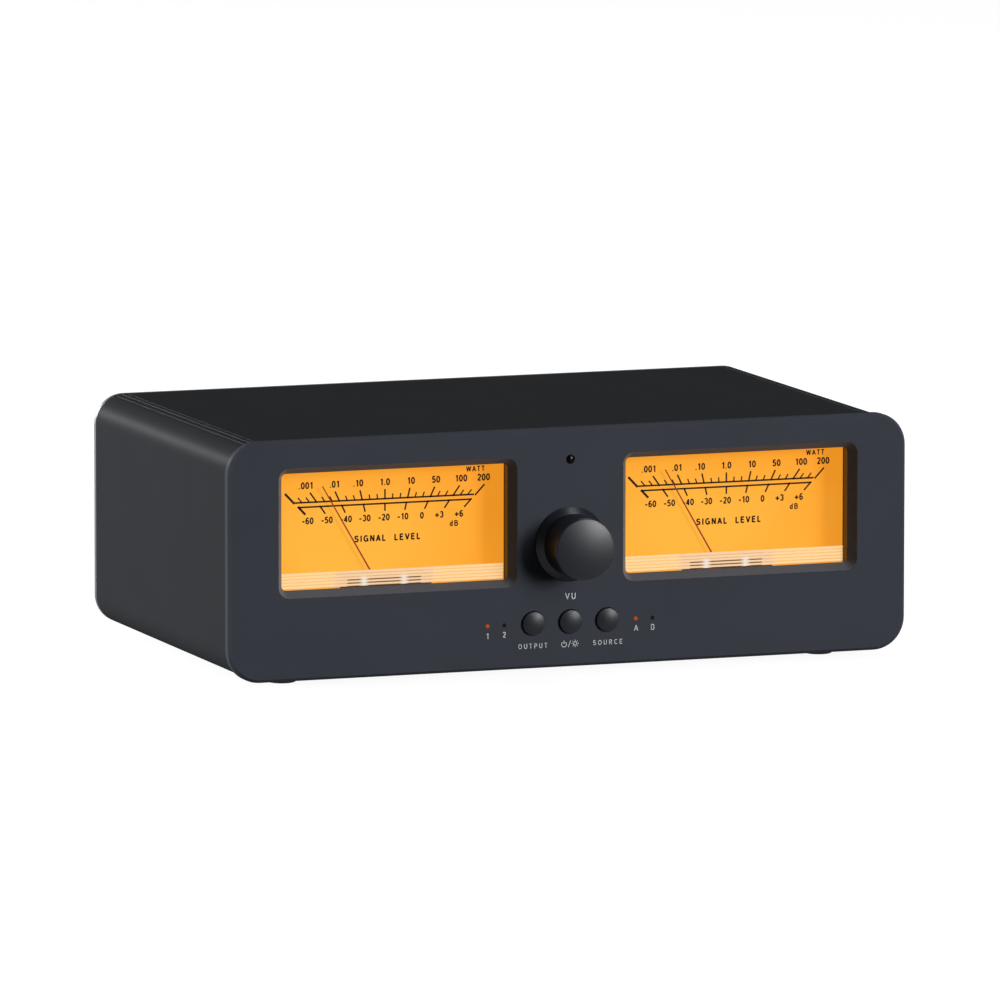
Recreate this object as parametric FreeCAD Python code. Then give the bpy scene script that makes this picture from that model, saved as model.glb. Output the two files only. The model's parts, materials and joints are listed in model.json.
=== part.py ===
import FreeCAD, Part
import math
import os

# Desktop level meter with two backlit moving-coil meters, a level knob,
# three push buttons and a two-way speaker and amplifier switch behind them.
# Millimetres. +X to the right seen from the front, +Y to the back, +Z up.
# The origin is on the table, under the middle of the whole object.
# A place is given as x, depth behind the front face, height above the
# front panel's lower edge.

# How far a cutter runs past a face
over = 0.5

# Case
panel_width = 260.0
panel_height = 86.8
panel_thickness = 4.0
corner_radius = 11.9
panel_chamfer = 1.1
case_depth = 154.1
sleeve_inset = 0.9
sleeve_wall = 2.0
rear_thickness = 2.0
groove_radius = 0.45
groove_edge_distances = (8.3, 10.5, 12.7)

# Tie screws, which clamp front panel, sleeve and rear panel together
tie_radius = 1.5
tie_head_radius = 2.75
tie_head_height = 1.8
tie_boss_radius = 3.6
tie_boss_sink = 1.0
tie_clearance = 0.1
tie_head_crown = 0.7
tie_socket_flats = 2.0
tie_socket_depth = 1.2
blind_floor = 1.4
blind_clearance = 0.1

# Feet
foot_radius = 5.3
foot_height = 2.8
foot_margin = 26.5
foot_setback = 19.0
foot_edge = 0.8
foot_screw_radius = 1.5
foot_screw_head_radius = 2.6
foot_screw_head_height = 1.4
foot_recess_radius = 2.9
foot_recess_depth = 1.6
foot_screw_rise = 0.5

# Windows in the front panel
window_side_margin = 18.84
window_centre_gap = 40.52
window_base = 29.9
window_top_margin = 9.9
window_corner = 4.2
window_taper = 2.4
window_least_corner = 0.4

# Meter housing, lens and dial
lens_thickness = 2.0
lens_margin = 0.5
flute_count = 5
flute_pitch = 1.15
flute_radius = 0.55
flute_start = 0.7
housing_wall = 1.5
housing_side_margin = 0.25
housing_bottom_margin = 6.1
housing_top_margin = 3.1
dial_depth = 14.4
dial_thickness = 0.8
dial_gap = 0.3
ledge_width = 1.7
housing_depth = 24.0
turret_half_width = 17.6
turret_low = 13.2
turret_high = 40.4
turret_depth = 31.2
notch_half_width = 17.2
notch_top = 36.8
guide_thickness = 5.6

# Meter fixing screws in the housing corners
meter_screw_radius = 1.25
meter_screw_head_radius = 2.2
meter_screw_head_height = 1.6
meter_boss_radius = 2.6
meter_boss_inset = 3.3
meter_boss_rise = 2.5

# Moving-coil movement
pivot_height = 26.0
needle_depth = 12.4
needle_top_gap = 5.3
needle_thickness = 0.4
needle_root_width = 0.6
needle_tip_width = 0.35
needle_lean = 30.15
hub_radius = 1.6
hub_length = 1.6
arm_sink = 0.2
tail_radius = 8.0
tail_length = 3.2
tail_thickness = 2.4
pin_radius = 0.35
pin_clearance = 0.07
pin_seat = 0.5
pin_end_gap = 0.2
pin_root = 0.5
magnet_radius = 5.0
magnet_length = 10.0
magnet_depth = 16.2
coil_inner = 5.45
coil_outer = 6.75
coil_width = 3.6
coil_end_gap = 0.2
coil_end_bar = 1.1
yoke_inner_radius = 7.2
yoke_outer_radius = 12.5
saddle_half_angle = 22.0
frame_plate_thickness = 1.6
bridge_half_width = 16.0
bridge_low = 30.5
bridge_high = 35.5
bridge_depth = 9.4
bridge_thickness = 1.0
bridge_tongue_half = 3.0
jewel_boss_radius = 1.5
jewel_boss_length = 0.6
bridge_leg_x = 14.6
bridge_leg_half = 1.2
bridge_screw_x = 7.8
bridge_screw_radius = 1.9
bridge_screw_height = 0.8
spring_turns = 4.0
spring_inner = 1.0
spring_outer = 4.6
spring_ribbon = 0.16
spring_width = 0.5
spring_gap = 0.3
spring_post_radius = 0.6
spring_post_x = 8.6

# Knob and potentiometer
knob_height_on_panel = 44.7
knob_reach = 16.5
knob_gap = 0.5
knob_skirt_radius = 13.5
knob_skirt_length = 2.8
knob_skirt_rim = 0.3
knob_radius = 11.3
knob_dome = 0.9
knob_edge = 0.8
knob_recess_radius = 8.0
knob_recess_depth = 3.0
shaft_radius = 3.0
shaft_flat = 1.5
shaft_reach = 12.8
shaft_clearance = 0.04
shaft_end_gap = 0.2
bushing_radius = 3.5
bushing_reach = 2.4
pot_half_width = 8.2
pot_back_wall = 1.0
nut_flats = 10.0
nut_thickness = 2.0

# Push buttons
button_pitch = 14.2
button_height_on_panel = 16.5
button_radius = 4.3
button_reach = 1.5
button_dome = 0.5
button_edge = 0.3
button_clearance = 0.2
button_flange_radius = 5.3
button_flange_gap = 0.3
button_flange_thickness = 1.0
button_stem_radius = 1.7
button_travel = 0.8
switch_half_width = 3.0
switch_height = 4.0
switch_well_depth = 2.2
stem_clearance = 0.1
stem_end_gap = 0.4

# Indicators and remote sensor
led_xs = (-31.65, -25.3, 25.3, 31.65)
led_height = 16.3
led_radius = 0.7
led_body_radius = 1.5
led_body_length = 5.0
hole_clearance = 0.05
sensor_top_margin = 11.4
sensor_radius = 1.65
sensor_dome = 0.5
sensor_half_width = 3.0

# Circuit boards
board_thickness = 1.6
control_board_depth = 13.0
control_neck_side_gap = 2.01
control_neck_margin = 6.8
control_foot_half = 40.0
control_foot_low = 8.5
control_foot_high = 20.5
control_screw_x = 36.0
control_screw_height = 11.5
header_half_width = 8.0
header_half_height = 2.5
header_depth = 6.0
ribbon_height = 14.2
ribbon_half_width = 6.5
ribbon_thickness = 0.9
ribbon_sag = 1.8
main_board_margin = 20.0
main_board_front = 60.0
main_board_rear_gap = 2.1
main_board_base = 9.0
standoff_radius = 2.6
standoff_inset = 6.0
standoff_rear_gap = 14.1
board_screw_radius = 1.2
board_screw_head_radius = 2.2
board_screw_head_height = 1.3
board_screw_engaged = 4.0
board_screw_end_gap = 0.2
relay_xs = (-72.0, -24.0, 24.0, 72.0)
relay_depth = 84.0
relay_size = (20.0, 14.0, 15.0)

# Binding posts on the rear panel
post_pair_pitch = 19.0
post_group_pitch = 46.0
post_rows = (("left", 56.0), ("right", 28.0))
post_groups = ("amp_a", "amp_b", "speaker_1", "speaker_2")
collar_radius = 6.5
collar_length = 4.0
collar_chamfer = 0.8
collar_neck_radius = 4.5
stud_radius = 3.0
stud_reach = 19.8
stud_chamfer = 0.3
stud_inner_reach = 12.0
stud_tail_radius = 1.6
stud_tail_length = 5.0
socket_radius = 2.05
socket_length = 12.6
socket_point = 0.6
wire_hole_radius = 1.1
wire_hole_offset = 5.2
cap_radius = 6.0
cap_sides = 12
cap_gap = 0.3
cap_length = 16.3
cap_chamfer = 0.8
cap_clearance = 0.06
post_nut_flats = 11.0
post_nut_thickness = 3.0
post_clearance = 0.1

# Power inlet
inlet_margin = 26.0
inlet_half_width = 4.5
inlet_height = 11.0
inlet_body_length = 12.0
inlet_barrel_radius = 4.0
inlet_socket_radius = 2.85
inlet_socket_depth = 9.0
inlet_pin_radius = 1.05
inlet_pin_root = 0.5

# Values that follow from the sizes above
post_reach = collar_length + cap_gap + cap_length
front_y = (knob_reach - case_depth - post_reach) / 2.0
sleeve_back = case_depth - rear_thickness
sleeve_floor = sleeve_inset + sleeve_wall
mid_height = panel_height / 2.0
foot_x = panel_width / 2.0 - foot_margin
window_width = (panel_width - 2 * window_side_margin - window_centre_gap) / 2.0
window_height = panel_height - window_base - window_top_margin
window_spacing = window_width + window_centre_gap
window_mid_height = window_base + window_height / 2.0
housing_half_width = window_width / 2.0 + housing_side_margin
housing_low = window_base - housing_bottom_margin
housing_high = window_base + window_height + housing_top_margin
needle_length = housing_high - pivot_height - needle_top_gap
sensor_height = panel_height - sensor_top_margin
control_neck_top = panel_height - control_neck_margin
control_neck_half = window_centre_gap / 2.0 - housing_side_margin - housing_wall - control_neck_side_gap
main_board_half = panel_width / 2.0 - main_board_margin
main_board_back = sleeve_back - main_board_rear_gap
standoff_rear_depth = sleeve_back - inlet_body_length - standoff_rear_gap
inlet_x = panel_width / 2.0 - inlet_margin
meter_xs = {"left": -window_spacing / 2.0, "right": window_spacing / 2.0}
lens_back = panel_thickness + lens_thickness
ledge_depth = dial_depth + dial_thickness
housing_back_inner = housing_depth - housing_wall
turret_back_inner = turret_depth - housing_wall
frame_plate_depth = turret_back_inner - frame_plate_thickness
magnet_back = magnet_depth + magnet_length
button_xs = {"left": -button_pitch, "centre": 0.0, "right": button_pitch}
switch_depth = control_board_depth - switch_height
AXIS = FreeCAD.Vector(0, 1, 0)


def place(x, depth, height):
    return FreeCAD.Vector(x, front_y + depth, foot_height + height)


def rod(x, depth, height, radius, length):
    """Cylinder along the depth, starting at depth."""
    return Part.makeCylinder(radius, length, place(x, depth, height), AXIS)


def upright(x, depth, height, radius, length):
    """Cylinder upwards, starting at height."""
    return Part.makeCylinder(radius, length, place(x, depth, height), FreeCAD.Vector(0, 0, 1))


def block(x_range, depth_range, height_range):
    low = place(x_range[0], depth_range[0], height_range[0])
    return Part.makeBox(
        x_range[1] - x_range[0],
        depth_range[1] - depth_range[0],
        height_range[1] - height_range[0],
        low,
    )


def around(middle, half):
    return (middle - half, middle + half)


def rounded_outline(x, depth, height, width, tall, radius):
    """Closed wire of a rectangle with round corners, in a plane across the depth."""
    radius = min(radius, 0.49 * width, 0.49 * tall)
    right = width / 2.0
    top = tall / 2.0
    edges = []
    for turn in range(4):
        sign_x = (1, -1, -1, 1)[turn]
        sign_z = (1, 1, -1, -1)[turn]
        centre = place(x + sign_x * (right - radius), depth, height + sign_z * (top - radius))
        angles = [math.radians(90 * turn + step) for step in (0, 45, 90)]
        arc = [centre + FreeCAD.Vector(math.cos(a), 0, math.sin(a)) * radius for a in angles]
        if edges:
            edges.append(Part.LineSegment(edges[-1].EndPoint, arc[0]))
        edges.append(Part.Arc(arc[0], arc[1], arc[2]))
    edges.append(Part.LineSegment(edges[-1].EndPoint, edges[0].StartPoint))
    return Part.Wire([edge.toShape() for edge in edges])


def rounded_plate(x, depth, height, width, tall, radius, thickness):
    face = Part.Face(rounded_outline(x, depth, height, width, tall, radius))
    return face.extrude(AXIS * thickness)


def turned(x, height, start, steps):
    """Body of revolution about the depth axis. Points are (radius, depth).
    A step is the next point, or a pair of a middle and an end point for an arc."""
    def point(spot):
        return place(x + spot[0], spot[1], height)

    here = point(start)
    edges = []
    for step in steps:
        if isinstance(step[0], tuple):
            middle, after = point(step[0]), point(step[1])
            edges.append(Part.Arc(here, middle, after).toShape())
        else:
            after = point(step)
            edges.append(Part.makeLine(here, after))
        here = after
    edges.append(Part.makeLine(here, point(start)))
    face = Part.Face(Part.Wire(edges))
    return face.revolve(place(x, 0, height), AXIS, 360)


def crown(radius, rim, rise):
    """Step of a turned outline: a shallow spherical crown from its rim to the axis.
    A negative rise bulges to the front."""
    sphere = (radius ** 2 + rise ** 2) / (2 * abs(rise))
    half = math.asin(min(1.0, radius / sphere)) / 2
    sign = math.copysign(1, rise)
    centre = rim + rise - sign * sphere
    return ((sphere * math.sin(half), centre + sign * sphere * math.cos(half)), (0, rim + rise))


def round_edge(radius, depth, edge):
    """Step of a turned outline: a quarter round that turns inwards at the front."""
    bend = edge * (1 - math.sqrt(0.5))
    return ((radius - bend, depth + bend), (radius - edge, depth))


def hexagon(x, depth, height, flats, thickness):
    return polygon_prism(x, depth, height, flats / math.sqrt(3), 6, thickness)


def polygon_prism(x, depth, height, radius, sides, thickness):
    corners = []
    for i in range(sides + 1):
        angle = 2 * math.pi * i / sides
        corners.append(place(x + radius * math.cos(angle), depth, height + radius * math.sin(angle)))
    return Part.Face(Part.makePolygon(corners)).extrude(AXIS * thickness)


def fused(shapes):
    return shapes[0].fuse(shapes[1:]).removeSplitter()


def save(name, shapes):
    if not isinstance(shapes, list):
        shapes = [shapes]
    solids = []
    for shape in shapes:
        solids.extend(shape.Solids)
    shape = solids[0] if len(solids) == 1 else Part.makeCompound(solids)
    shape.exportStep("parts/" + name + ".step")


# Places shared by several pieces


def tie_places():
    """Centres of the tie screws, in the sleeve's corners."""
    offset = corner_radius - sleeve_floor - tie_boss_radius + tie_boss_sink
    offset = offset / math.sqrt(2)
    x = panel_width / 2.0 - corner_radius + offset
    rise = mid_height - corner_radius + offset
    return [(sx * x, mid_height + sz * rise) for sx in (-1, 1) for sz in (-1, 1)]


def foot_places():
    return [(sx * foot_x, depth) for sx in (-1, 1) for depth in (foot_setback, case_depth - foot_setback)]


def meter_screw_places(x):
    across = housing_half_width - meter_boss_inset
    heights = (housing_low + meter_boss_rise, housing_high - meter_boss_rise)
    return [(x + side * across, height) for side in (-1, 1) for height in heights]


def post_places():
    """Name, x and height of each binding post."""
    posts = []
    for number, group in enumerate(post_groups):
        group_x = (number - (len(post_groups) - 1) / 2.0) * post_group_pitch
        for side, height in post_rows:
            for colour, sign in (("red", -0.5), ("black", 0.5)):
                name = "_".join((group, side, colour))
                posts.append((name, group_x + sign * post_pair_pitch, height))
    return posts


def main_standoff_places():
    across = main_board_half - standoff_inset
    depths = (main_board_front + standoff_inset, standoff_rear_depth)
    return [(sx * across, depth) for sx in (-1, 1) for depth in depths]


# Case


def window_cutter(x):
    """Opening whose walls draw in towards the back, cut a little past both faces."""
    slope = window_taper / panel_thickness
    sections = []
    for depth in (-over, panel_thickness + over):
        shrink = slope * depth
        sections.append(rounded_outline(
            x, depth, window_mid_height,
            window_width - 2 * shrink, window_height - 2 * shrink,
            max(window_corner - shrink, window_least_corner),
        ))
    return Part.makeLoft(sections, True, True)


def make_front_panel():
    bevel = Part.makeLoft([
        rounded_outline(0, 0, mid_height, panel_width - 2 * panel_chamfer,
                        panel_height - 2 * panel_chamfer, corner_radius - panel_chamfer),
        rounded_outline(0, panel_chamfer, mid_height, panel_width, panel_height, corner_radius),
    ], True, True)
    plate = rounded_plate(0, panel_chamfer, mid_height, panel_width, panel_height,
                          corner_radius, panel_thickness - panel_chamfer)
    cutters = [window_cutter(x) for x in meter_xs.values()]
    through = panel_thickness + 2 * over
    for x in button_xs.values():
        cutters.append(rod(x, -over, button_height_on_panel, button_radius + button_clearance, through))
    for x in led_xs:
        cutters.append(rod(x, -over, led_height, led_radius + hole_clearance, through))
    cutters.append(rod(0, -over, sensor_height, sensor_radius + hole_clearance, through))
    cutters.append(rod(0, -over, knob_height_on_panel, bushing_radius + hole_clearance, through))
    blind_start = blind_floor - blind_clearance
    for x, height in tie_places():
        cutters.append(rod(x, blind_start, height, tie_radius + hole_clearance, panel_thickness))
    meter_hole_radius = meter_screw_radius + hole_clearance
    for meter_x in meter_xs.values():
        for x, height in meter_screw_places(meter_x):
            cutters.append(rod(x, blind_start, height, meter_hole_radius, panel_thickness))
    return bevel.fuse(plate).removeSplitter().cut(cutters)


def groove_places():
    """Centres of the fine grooves along the sleeve's upper edges, on its surface."""
    places = []
    arc_x = panel_width / 2.0 - corner_radius
    arc_height = panel_height - corner_radius
    radius = corner_radius - sleeve_inset
    for distance in groove_edge_distances:
        x = panel_width / 2.0 - distance
        rise = radius
        if x > arc_x:
            rise = math.sqrt(radius ** 2 - (x - arc_x) ** 2)
        places.extend([(x, arc_height + rise), (-x, arc_height + rise)])
    return places


def sleeve_plate(depth, thickness, inset):
    return rounded_plate(0, depth, mid_height, panel_width - 2 * inset, panel_height - 2 * inset,
                         corner_radius - inset, thickness)


def make_case_sleeve():
    length = sleeve_back - panel_thickness
    outside = sleeve_plate(panel_thickness, length, sleeve_inset)
    cavity = sleeve_plate(panel_thickness - over, length + 2 * over, sleeve_floor)
    bosses = [
        rod(x, panel_thickness - 2 * over, height, tie_boss_radius, length + 4 * over)
        for x, height in tie_places()
    ]
    tube = outside.cut(cavity.cut(bosses))
    cutters = [
        rod(x, panel_thickness - over, height, tie_radius + tie_clearance, length + 2 * over)
        for x, height in tie_places()
    ]
    for x, height in groove_places():
        cutters.append(rod(x, panel_thickness - over, height, groove_radius, length + 2 * over))
    for x, depth in foot_places():
        cutters.append(upright(x, depth, 0, foot_screw_radius + hole_clearance, sleeve_floor + over))
    return tube.cut(cutters)


def make_rear_panel():
    plate = sleeve_plate(sleeve_back, rear_thickness, sleeve_inset)
    start = sleeve_back - over
    through = rear_thickness + 2 * over
    cutters = [rod(x, start, height, tie_radius + tie_clearance, through) for x, height in tie_places()]
    for name, x, height in post_places():
        cutters.append(rod(x, start, height, collar_neck_radius + post_clearance, through))
    cutters.append(rod(inlet_x, start, inlet_axis_height(), inlet_barrel_radius + post_clearance, through))
    return plate.cut(cutters)


def make_tie_screws():
    screws = []
    for x, height in tie_places():
        shank = rod(x, blind_floor, height, tie_radius, case_depth - blind_floor)
        head_top = case_depth + tie_head_height
        rim = head_top - tie_head_crown
        head = turned(x, height, (0, case_depth), [
            (tie_head_radius, case_depth),
            (tie_head_radius, rim),
            crown(tie_head_radius, rim, tie_head_crown),
        ])
        socket = hexagon(x, head_top - tie_socket_depth, height, tie_socket_flats, tie_head_height)
        screws.append(shank.fuse(head).removeSplitter().cut(socket))
    return screws


def make_rubber_feet():
    feet = []
    top = foot_height + sleeve_inset
    for x, depth in foot_places():
        centre = place(x, depth, -foot_height)
        foot = Part.makeCylinder(foot_radius, top, centre)
        lower = [edge for edge in foot.Edges if edge.BoundBox.ZMax < centre.z + 0.01]
        foot = foot.makeFillet(foot_edge, lower)
        foot = foot.cut(Part.makeCylinder(foot_recess_radius, foot_recess_depth, centre))
        feet.append(foot.cut(Part.makeCylinder(foot_screw_radius + hole_clearance, top, centre)))
    return feet


def make_foot_screws():
    screws = []
    head_low = foot_recess_depth - foot_screw_head_height - foot_height
    rise = sleeve_floor + foot_screw_rise - head_low
    for x, depth in foot_places():
        shank = upright(x, depth, head_low, foot_screw_radius, rise)
        head = upright(x, depth, head_low, foot_screw_head_radius, foot_screw_head_height)
        screws.append(shank.fuse(head).removeSplitter())
    return screws


# Meters


def make_window(x):
    """Clear lens plate with horizontal flutes along its lower edge, on the inside."""
    half = housing_half_width - lens_margin
    plate = block(around(x, half), (panel_thickness, lens_back),
                  (housing_low + lens_margin, housing_high - lens_margin))
    flutes = []
    opening_low = window_base + window_taper
    for number in range(flute_count):
        height = opening_low + flute_start + number * flute_pitch
        flutes.append(Part.makeCylinder(
            flute_radius, window_width - 2 * window_taper,
            place(x - window_width / 2.0 + window_taper, lens_back, height), FreeCAD.Vector(1, 0, 0),
        ))
    holes = [
        rod(sx, panel_thickness - over, height, meter_screw_radius + tie_clearance, lens_thickness + 2 * over)
        for sx, height in meter_screw_places(x)
    ]
    return plate.fuse(flutes).removeSplitter().cut(holes)


def housing_cavity(x, inset, depth_range):
    return block(around(x, housing_half_width - inset), depth_range,
                 (housing_low + inset, housing_high - inset))


def make_housing(x):
    """Moulded tray, open at the front, with a turret behind for the movement."""
    tray = housing_cavity(x, -housing_wall, (panel_thickness, housing_depth))
    turret = block(around(x, turret_half_width + housing_wall), (panel_thickness, turret_depth),
                   (turret_low - housing_wall, turret_high + housing_wall))
    shell = tray.fuse(turret).removeSplitter()
    shell = shell.cut([
        housing_cavity(x, 0, (panel_thickness - over, ledge_depth)),
        housing_cavity(x, ledge_width, (ledge_depth - over, housing_back_inner)),
        block(around(x, turret_half_width), (panel_thickness - over, turret_back_inner),
              (turret_low, turret_high)),
    ])
    bosses = []
    holes = []
    for sx, height in meter_screw_places(x):
        bosses.append(rod(sx, lens_back, height, meter_boss_radius, housing_depth - lens_back))
        holes.append(rod(sx, lens_back - over, height, meter_screw_radius + tie_clearance, housing_depth))
    return shell.fuse(bosses).removeSplitter().cut(holes)


def movement_notch(x, depth_range, half_width, top):
    """Room for the movement, open at the lower edge."""
    return block(around(x, half_width), depth_range, (turret_low, top))


def boss_reliefs(x, depth, length):
    return [
        rod(sx, depth - over, height, meter_boss_radius + dial_gap, length + 2 * over)
        for sx, height in meter_screw_places(x)
    ]


def make_dial(x):
    plate = housing_cavity(x, dial_gap, (dial_depth, ledge_depth))
    cutters = [movement_notch(x, (dial_depth - over, ledge_depth + over), notch_half_width, notch_top)]
    cutters.extend(boss_reliefs(x, dial_depth, dial_thickness))
    return plate.cut(cutters)


def make_backlight(x):
    """Light guide behind the dial and the lamp board behind the guide."""
    layers = []
    guide_back = ledge_depth + guide_thickness
    for low, high in ((ledge_depth, guide_back), (guide_back, housing_back_inner)):
        layer = housing_cavity(x, ledge_width + dial_gap, (low, high))
        cutters = [movement_notch(x, (low - over, high + over), turret_half_width + dial_gap,
                                  turret_high + dial_gap)]
        cutters.extend(boss_reliefs(x, low, high - low))
        layers.append(layer.cut(cutters))
    return layers


def make_magnet(x):
    return rod(x, magnet_depth, pivot_height, magnet_radius, magnet_length)


def make_yoke(x):
    """Soft iron return ring, with the post that holds the hairspring's outer end."""
    length = frame_plate_depth - magnet_depth
    ring = rod(x, magnet_depth, pivot_height, yoke_outer_radius, length)
    ring = ring.cut(rod(x, magnet_depth - over, pivot_height, yoke_inner_radius, length + 2 * over))
    post_start = spring_depth()
    post = rod(x + spring_post_x, post_start, pivot_height, spring_post_radius, magnet_depth - post_start)
    return ring.fuse(post).removeSplitter()


def make_front_bridge(x):
    """Stamped bar that holds the front jewel, on two legs."""
    front = bridge_depth
    back = bridge_depth + bridge_thickness
    pieces = [
        block(around(x, bridge_half_width), (front, back), (bridge_low, bridge_high)),
        block(around(x, bridge_tongue_half), (front, back), (pivot_height - bridge_tongue_half, bridge_low)),
        rod(x, front, pivot_height, jewel_boss_radius, bridge_thickness + jewel_boss_length),
    ]
    middle = (bridge_low + bridge_high) / 2.0
    for side in (-1, 1):
        leg_x = x + side * bridge_leg_x
        pieces.append(block(around(leg_x, bridge_leg_half), (back, frame_plate_depth),
                            around(middle, bridge_leg_half)))
        pieces.append(rod(x + side * bridge_screw_x, front - bridge_screw_height, middle,
                          bridge_screw_radius, bridge_screw_height))
    bar = fused(pieces)
    jewel = rod(x, pin_front() - pin_end_gap, pivot_height, pin_radius + pin_clearance,
                bridge_thickness + over)
    return bar.cut(jewel)


def make_rear_frame(x):
    """Plate behind the ring, with the rear jewel and the saddle that carries the magnet."""
    half = turret_half_width - dial_gap
    plate = block(around(x, half), (frame_plate_depth, turret_back_inner),
                  (turret_low + dial_gap, turret_high - dial_gap))
    angle = math.radians(saddle_half_angle)
    length = frame_plate_depth - magnet_depth
    wedge_reach = 2 * yoke_inner_radius
    corners = [
        place(x, magnet_depth, pivot_height),
        place(x - wedge_reach * math.sin(angle), magnet_depth, pivot_height - wedge_reach * math.cos(angle)),
        place(x + wedge_reach * math.sin(angle), magnet_depth, pivot_height - wedge_reach * math.cos(angle)),
    ]
    wedge = Part.Face(Part.makePolygon(corners + corners[:1])).extrude(AXIS * length)
    saddle = rod(x, magnet_depth, pivot_height, yoke_inner_radius, length)
    saddle = saddle.cut(rod(x, magnet_depth - over, pivot_height, magnet_radius, length + 2 * over))
    saddle = saddle.common(wedge)
    jewel = rod(x, frame_plate_depth - over, pivot_height, pin_radius + pin_clearance,
                over + pin_seat + pin_end_gap)
    return plate.fuse(saddle).removeSplitter().cut(jewel)


def pin_front():
    """Depth of the front pivot's tip, just inside the jewel."""
    return bridge_depth + bridge_thickness + jewel_boss_length - pin_seat


def coil_front():
    return magnet_depth - coil_end_gap - coil_end_bar


def spring_depth():
    return needle_depth + tail_thickness / 2.0 + spring_gap


def leaned(shape, x):
    """Turns a moving piece to the reading it shows at rest."""
    shape.rotate(place(x, 0, pivot_height), AXIS, -needle_lean)
    return shape


def make_needle(x):
    """Pointer arm, hub and a tail weight that balances the arm about the pivot."""
    front = needle_depth - needle_thickness / 2.0
    inner = hub_radius - arm_sink
    arm_corners = [
        place(x - needle_root_width / 2.0, front, pivot_height + inner),
        place(x - needle_tip_width / 2.0, front, pivot_height + needle_length),
        place(x + needle_tip_width / 2.0, front, pivot_height + needle_length),
        place(x + needle_root_width / 2.0, front, pivot_height + inner),
    ]
    arm = Part.Face(Part.makePolygon(arm_corners + arm_corners[:1])).extrude(AXIS * needle_thickness)
    moment = arm.Volume * (arm.CenterOfMass.z - foot_height - pivot_height)
    tail_width = moment / (tail_radius * tail_length * tail_thickness)
    tail_arm = block(around(x, needle_root_width / 2.0), (front, front + needle_thickness),
                     (pivot_height - tail_radius, pivot_height - inner))
    tail = block(around(x, tail_width / 2.0), around(needle_depth, tail_thickness / 2.0),
                 around(pivot_height - tail_radius, tail_length / 2.0))
    hub = rod(x, needle_depth - hub_length / 2.0, pivot_height, hub_radius, hub_length)
    needle = fused([hub, arm, tail_arm, tail])
    needle = needle.cut(rod(x, needle_depth - hub_length, pivot_height, pin_radius, 2 * hub_length))
    return leaned(needle, x)


def make_coil(x):
    """Wound frame round the magnet, with a steel pivot pin at each end."""
    front = coil_front()
    back = magnet_back + coil_end_gap + coil_end_bar
    width = around(pivot_height, coil_width / 2.0)
    frame = block(around(x, coil_outer), (front, back), width)
    frame = frame.cut(block(around(x, coil_inner), (front + coil_end_bar, back - coil_end_bar),
                            around(pivot_height, coil_width)))
    front_pin = rod(x, pin_front(), pivot_height, pin_radius, front + pin_root - pin_front())
    rear_pin = rod(x, back - pin_root, pivot_height, pin_radius,
                   frame_plate_depth + pin_seat - back + pin_root)
    return leaned(fused([frame, front_pin, rear_pin]), x)


def make_hairspring(x):
    """Flat spiral of even pitch, from a collet on the pivot to its post on the ring."""
    steps_per_turn = 16
    count = int(round(spring_turns * steps_per_turn))
    inner_side = []
    outer_side = []
    for i in range(count + 1):
        share = float(i) / count
        angle = 2 * math.pi * spring_turns * (share - 1.0)
        radius = spring_inner + (spring_outer - spring_inner) * share
        for side, offset in ((inner_side, -0.5), (outer_side, 0.5)):
            reach = radius + offset * spring_ribbon
            side.append(place(x + reach * math.cos(angle), spring_depth(),
                              pivot_height + reach * math.sin(angle)))
    outline = inner_side + outer_side[::-1] + inner_side[:1]
    spiral = Part.Face(Part.makePolygon(outline)).extrude(AXIS * spring_width)
    arm = block((x + spring_outer - spring_ribbon, x + spring_post_x - spring_post_radius),
                (spring_depth(), spring_depth() + spring_width), around(pivot_height, spring_ribbon / 2.0))
    collet = rod(x, spring_depth(), pivot_height, spring_inner, spring_width)
    collet = collet.cut(rod(x, spring_depth() - over, pivot_height, pin_radius, spring_width + 2 * over))
    return fused([spiral, arm, collet])


def make_meter_screws():
    screws = []
    for meter_x in meter_xs.values():
        for x, height in meter_screw_places(meter_x):
            shank = rod(x, blind_floor, height, meter_screw_radius, housing_depth - blind_floor)
            head = rod(x, housing_depth, height, meter_screw_head_radius, meter_screw_head_height)
            screws.append(shank.fuse(head).removeSplitter())
    return screws


# Controls


def make_knob():
    """Turned knob: conical skirt at the panel, straight grip, domed face, hollow behind."""
    back = -knob_gap
    skirt_end = back - knob_skirt_length
    face = -(knob_reach - knob_dome)
    shoulder = face + knob_edge
    knob = turned(0, knob_height_on_panel, (0, back), [
        (knob_skirt_radius, back),
        (knob_skirt_radius, back - knob_skirt_rim),
        (knob_radius, skirt_end),
        (knob_radius, shoulder),
        round_edge(knob_radius, face, knob_edge),
        crown(knob_radius - knob_edge, face, -knob_dome),
    ])
    recess = rod(0, back - knob_recess_depth, knob_height_on_panel, knob_recess_radius, knob_recess_depth + over)
    return knob.cut([recess, shaft_solid(shaft_clearance, -shaft_reach - shaft_end_gap, back)])


def shaft_solid(clearance, start, end):
    """Round shaft with a flat above its axis, or the hole for it."""
    shaft = rod(0, start, knob_height_on_panel, shaft_radius + clearance, end - start)
    flat = block(around(0, 2 * shaft_radius), (start - over, -knob_gap - knob_recess_depth),
                 (knob_height_on_panel + shaft_flat + clearance, knob_height_on_panel + 2 * shaft_radius))
    return shaft.cut(flat)


def make_pot_shaft():
    return shaft_solid(0.0, -shaft_reach, control_board_depth - pot_back_wall)


def make_potentiometer():
    body = block(around(0, pot_half_width), (panel_thickness, control_board_depth),
                 around(knob_height_on_panel, pot_half_width))
    bushing = rod(0, -bushing_reach, knob_height_on_panel, bushing_radius, bushing_reach + panel_thickness)
    start = -bushing_reach - over
    bore = rod(0, start, knob_height_on_panel, shaft_radius + shaft_clearance,
               control_board_depth - pot_back_wall + shaft_end_gap - start)
    return body.fuse(bushing).cut(bore)


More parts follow.
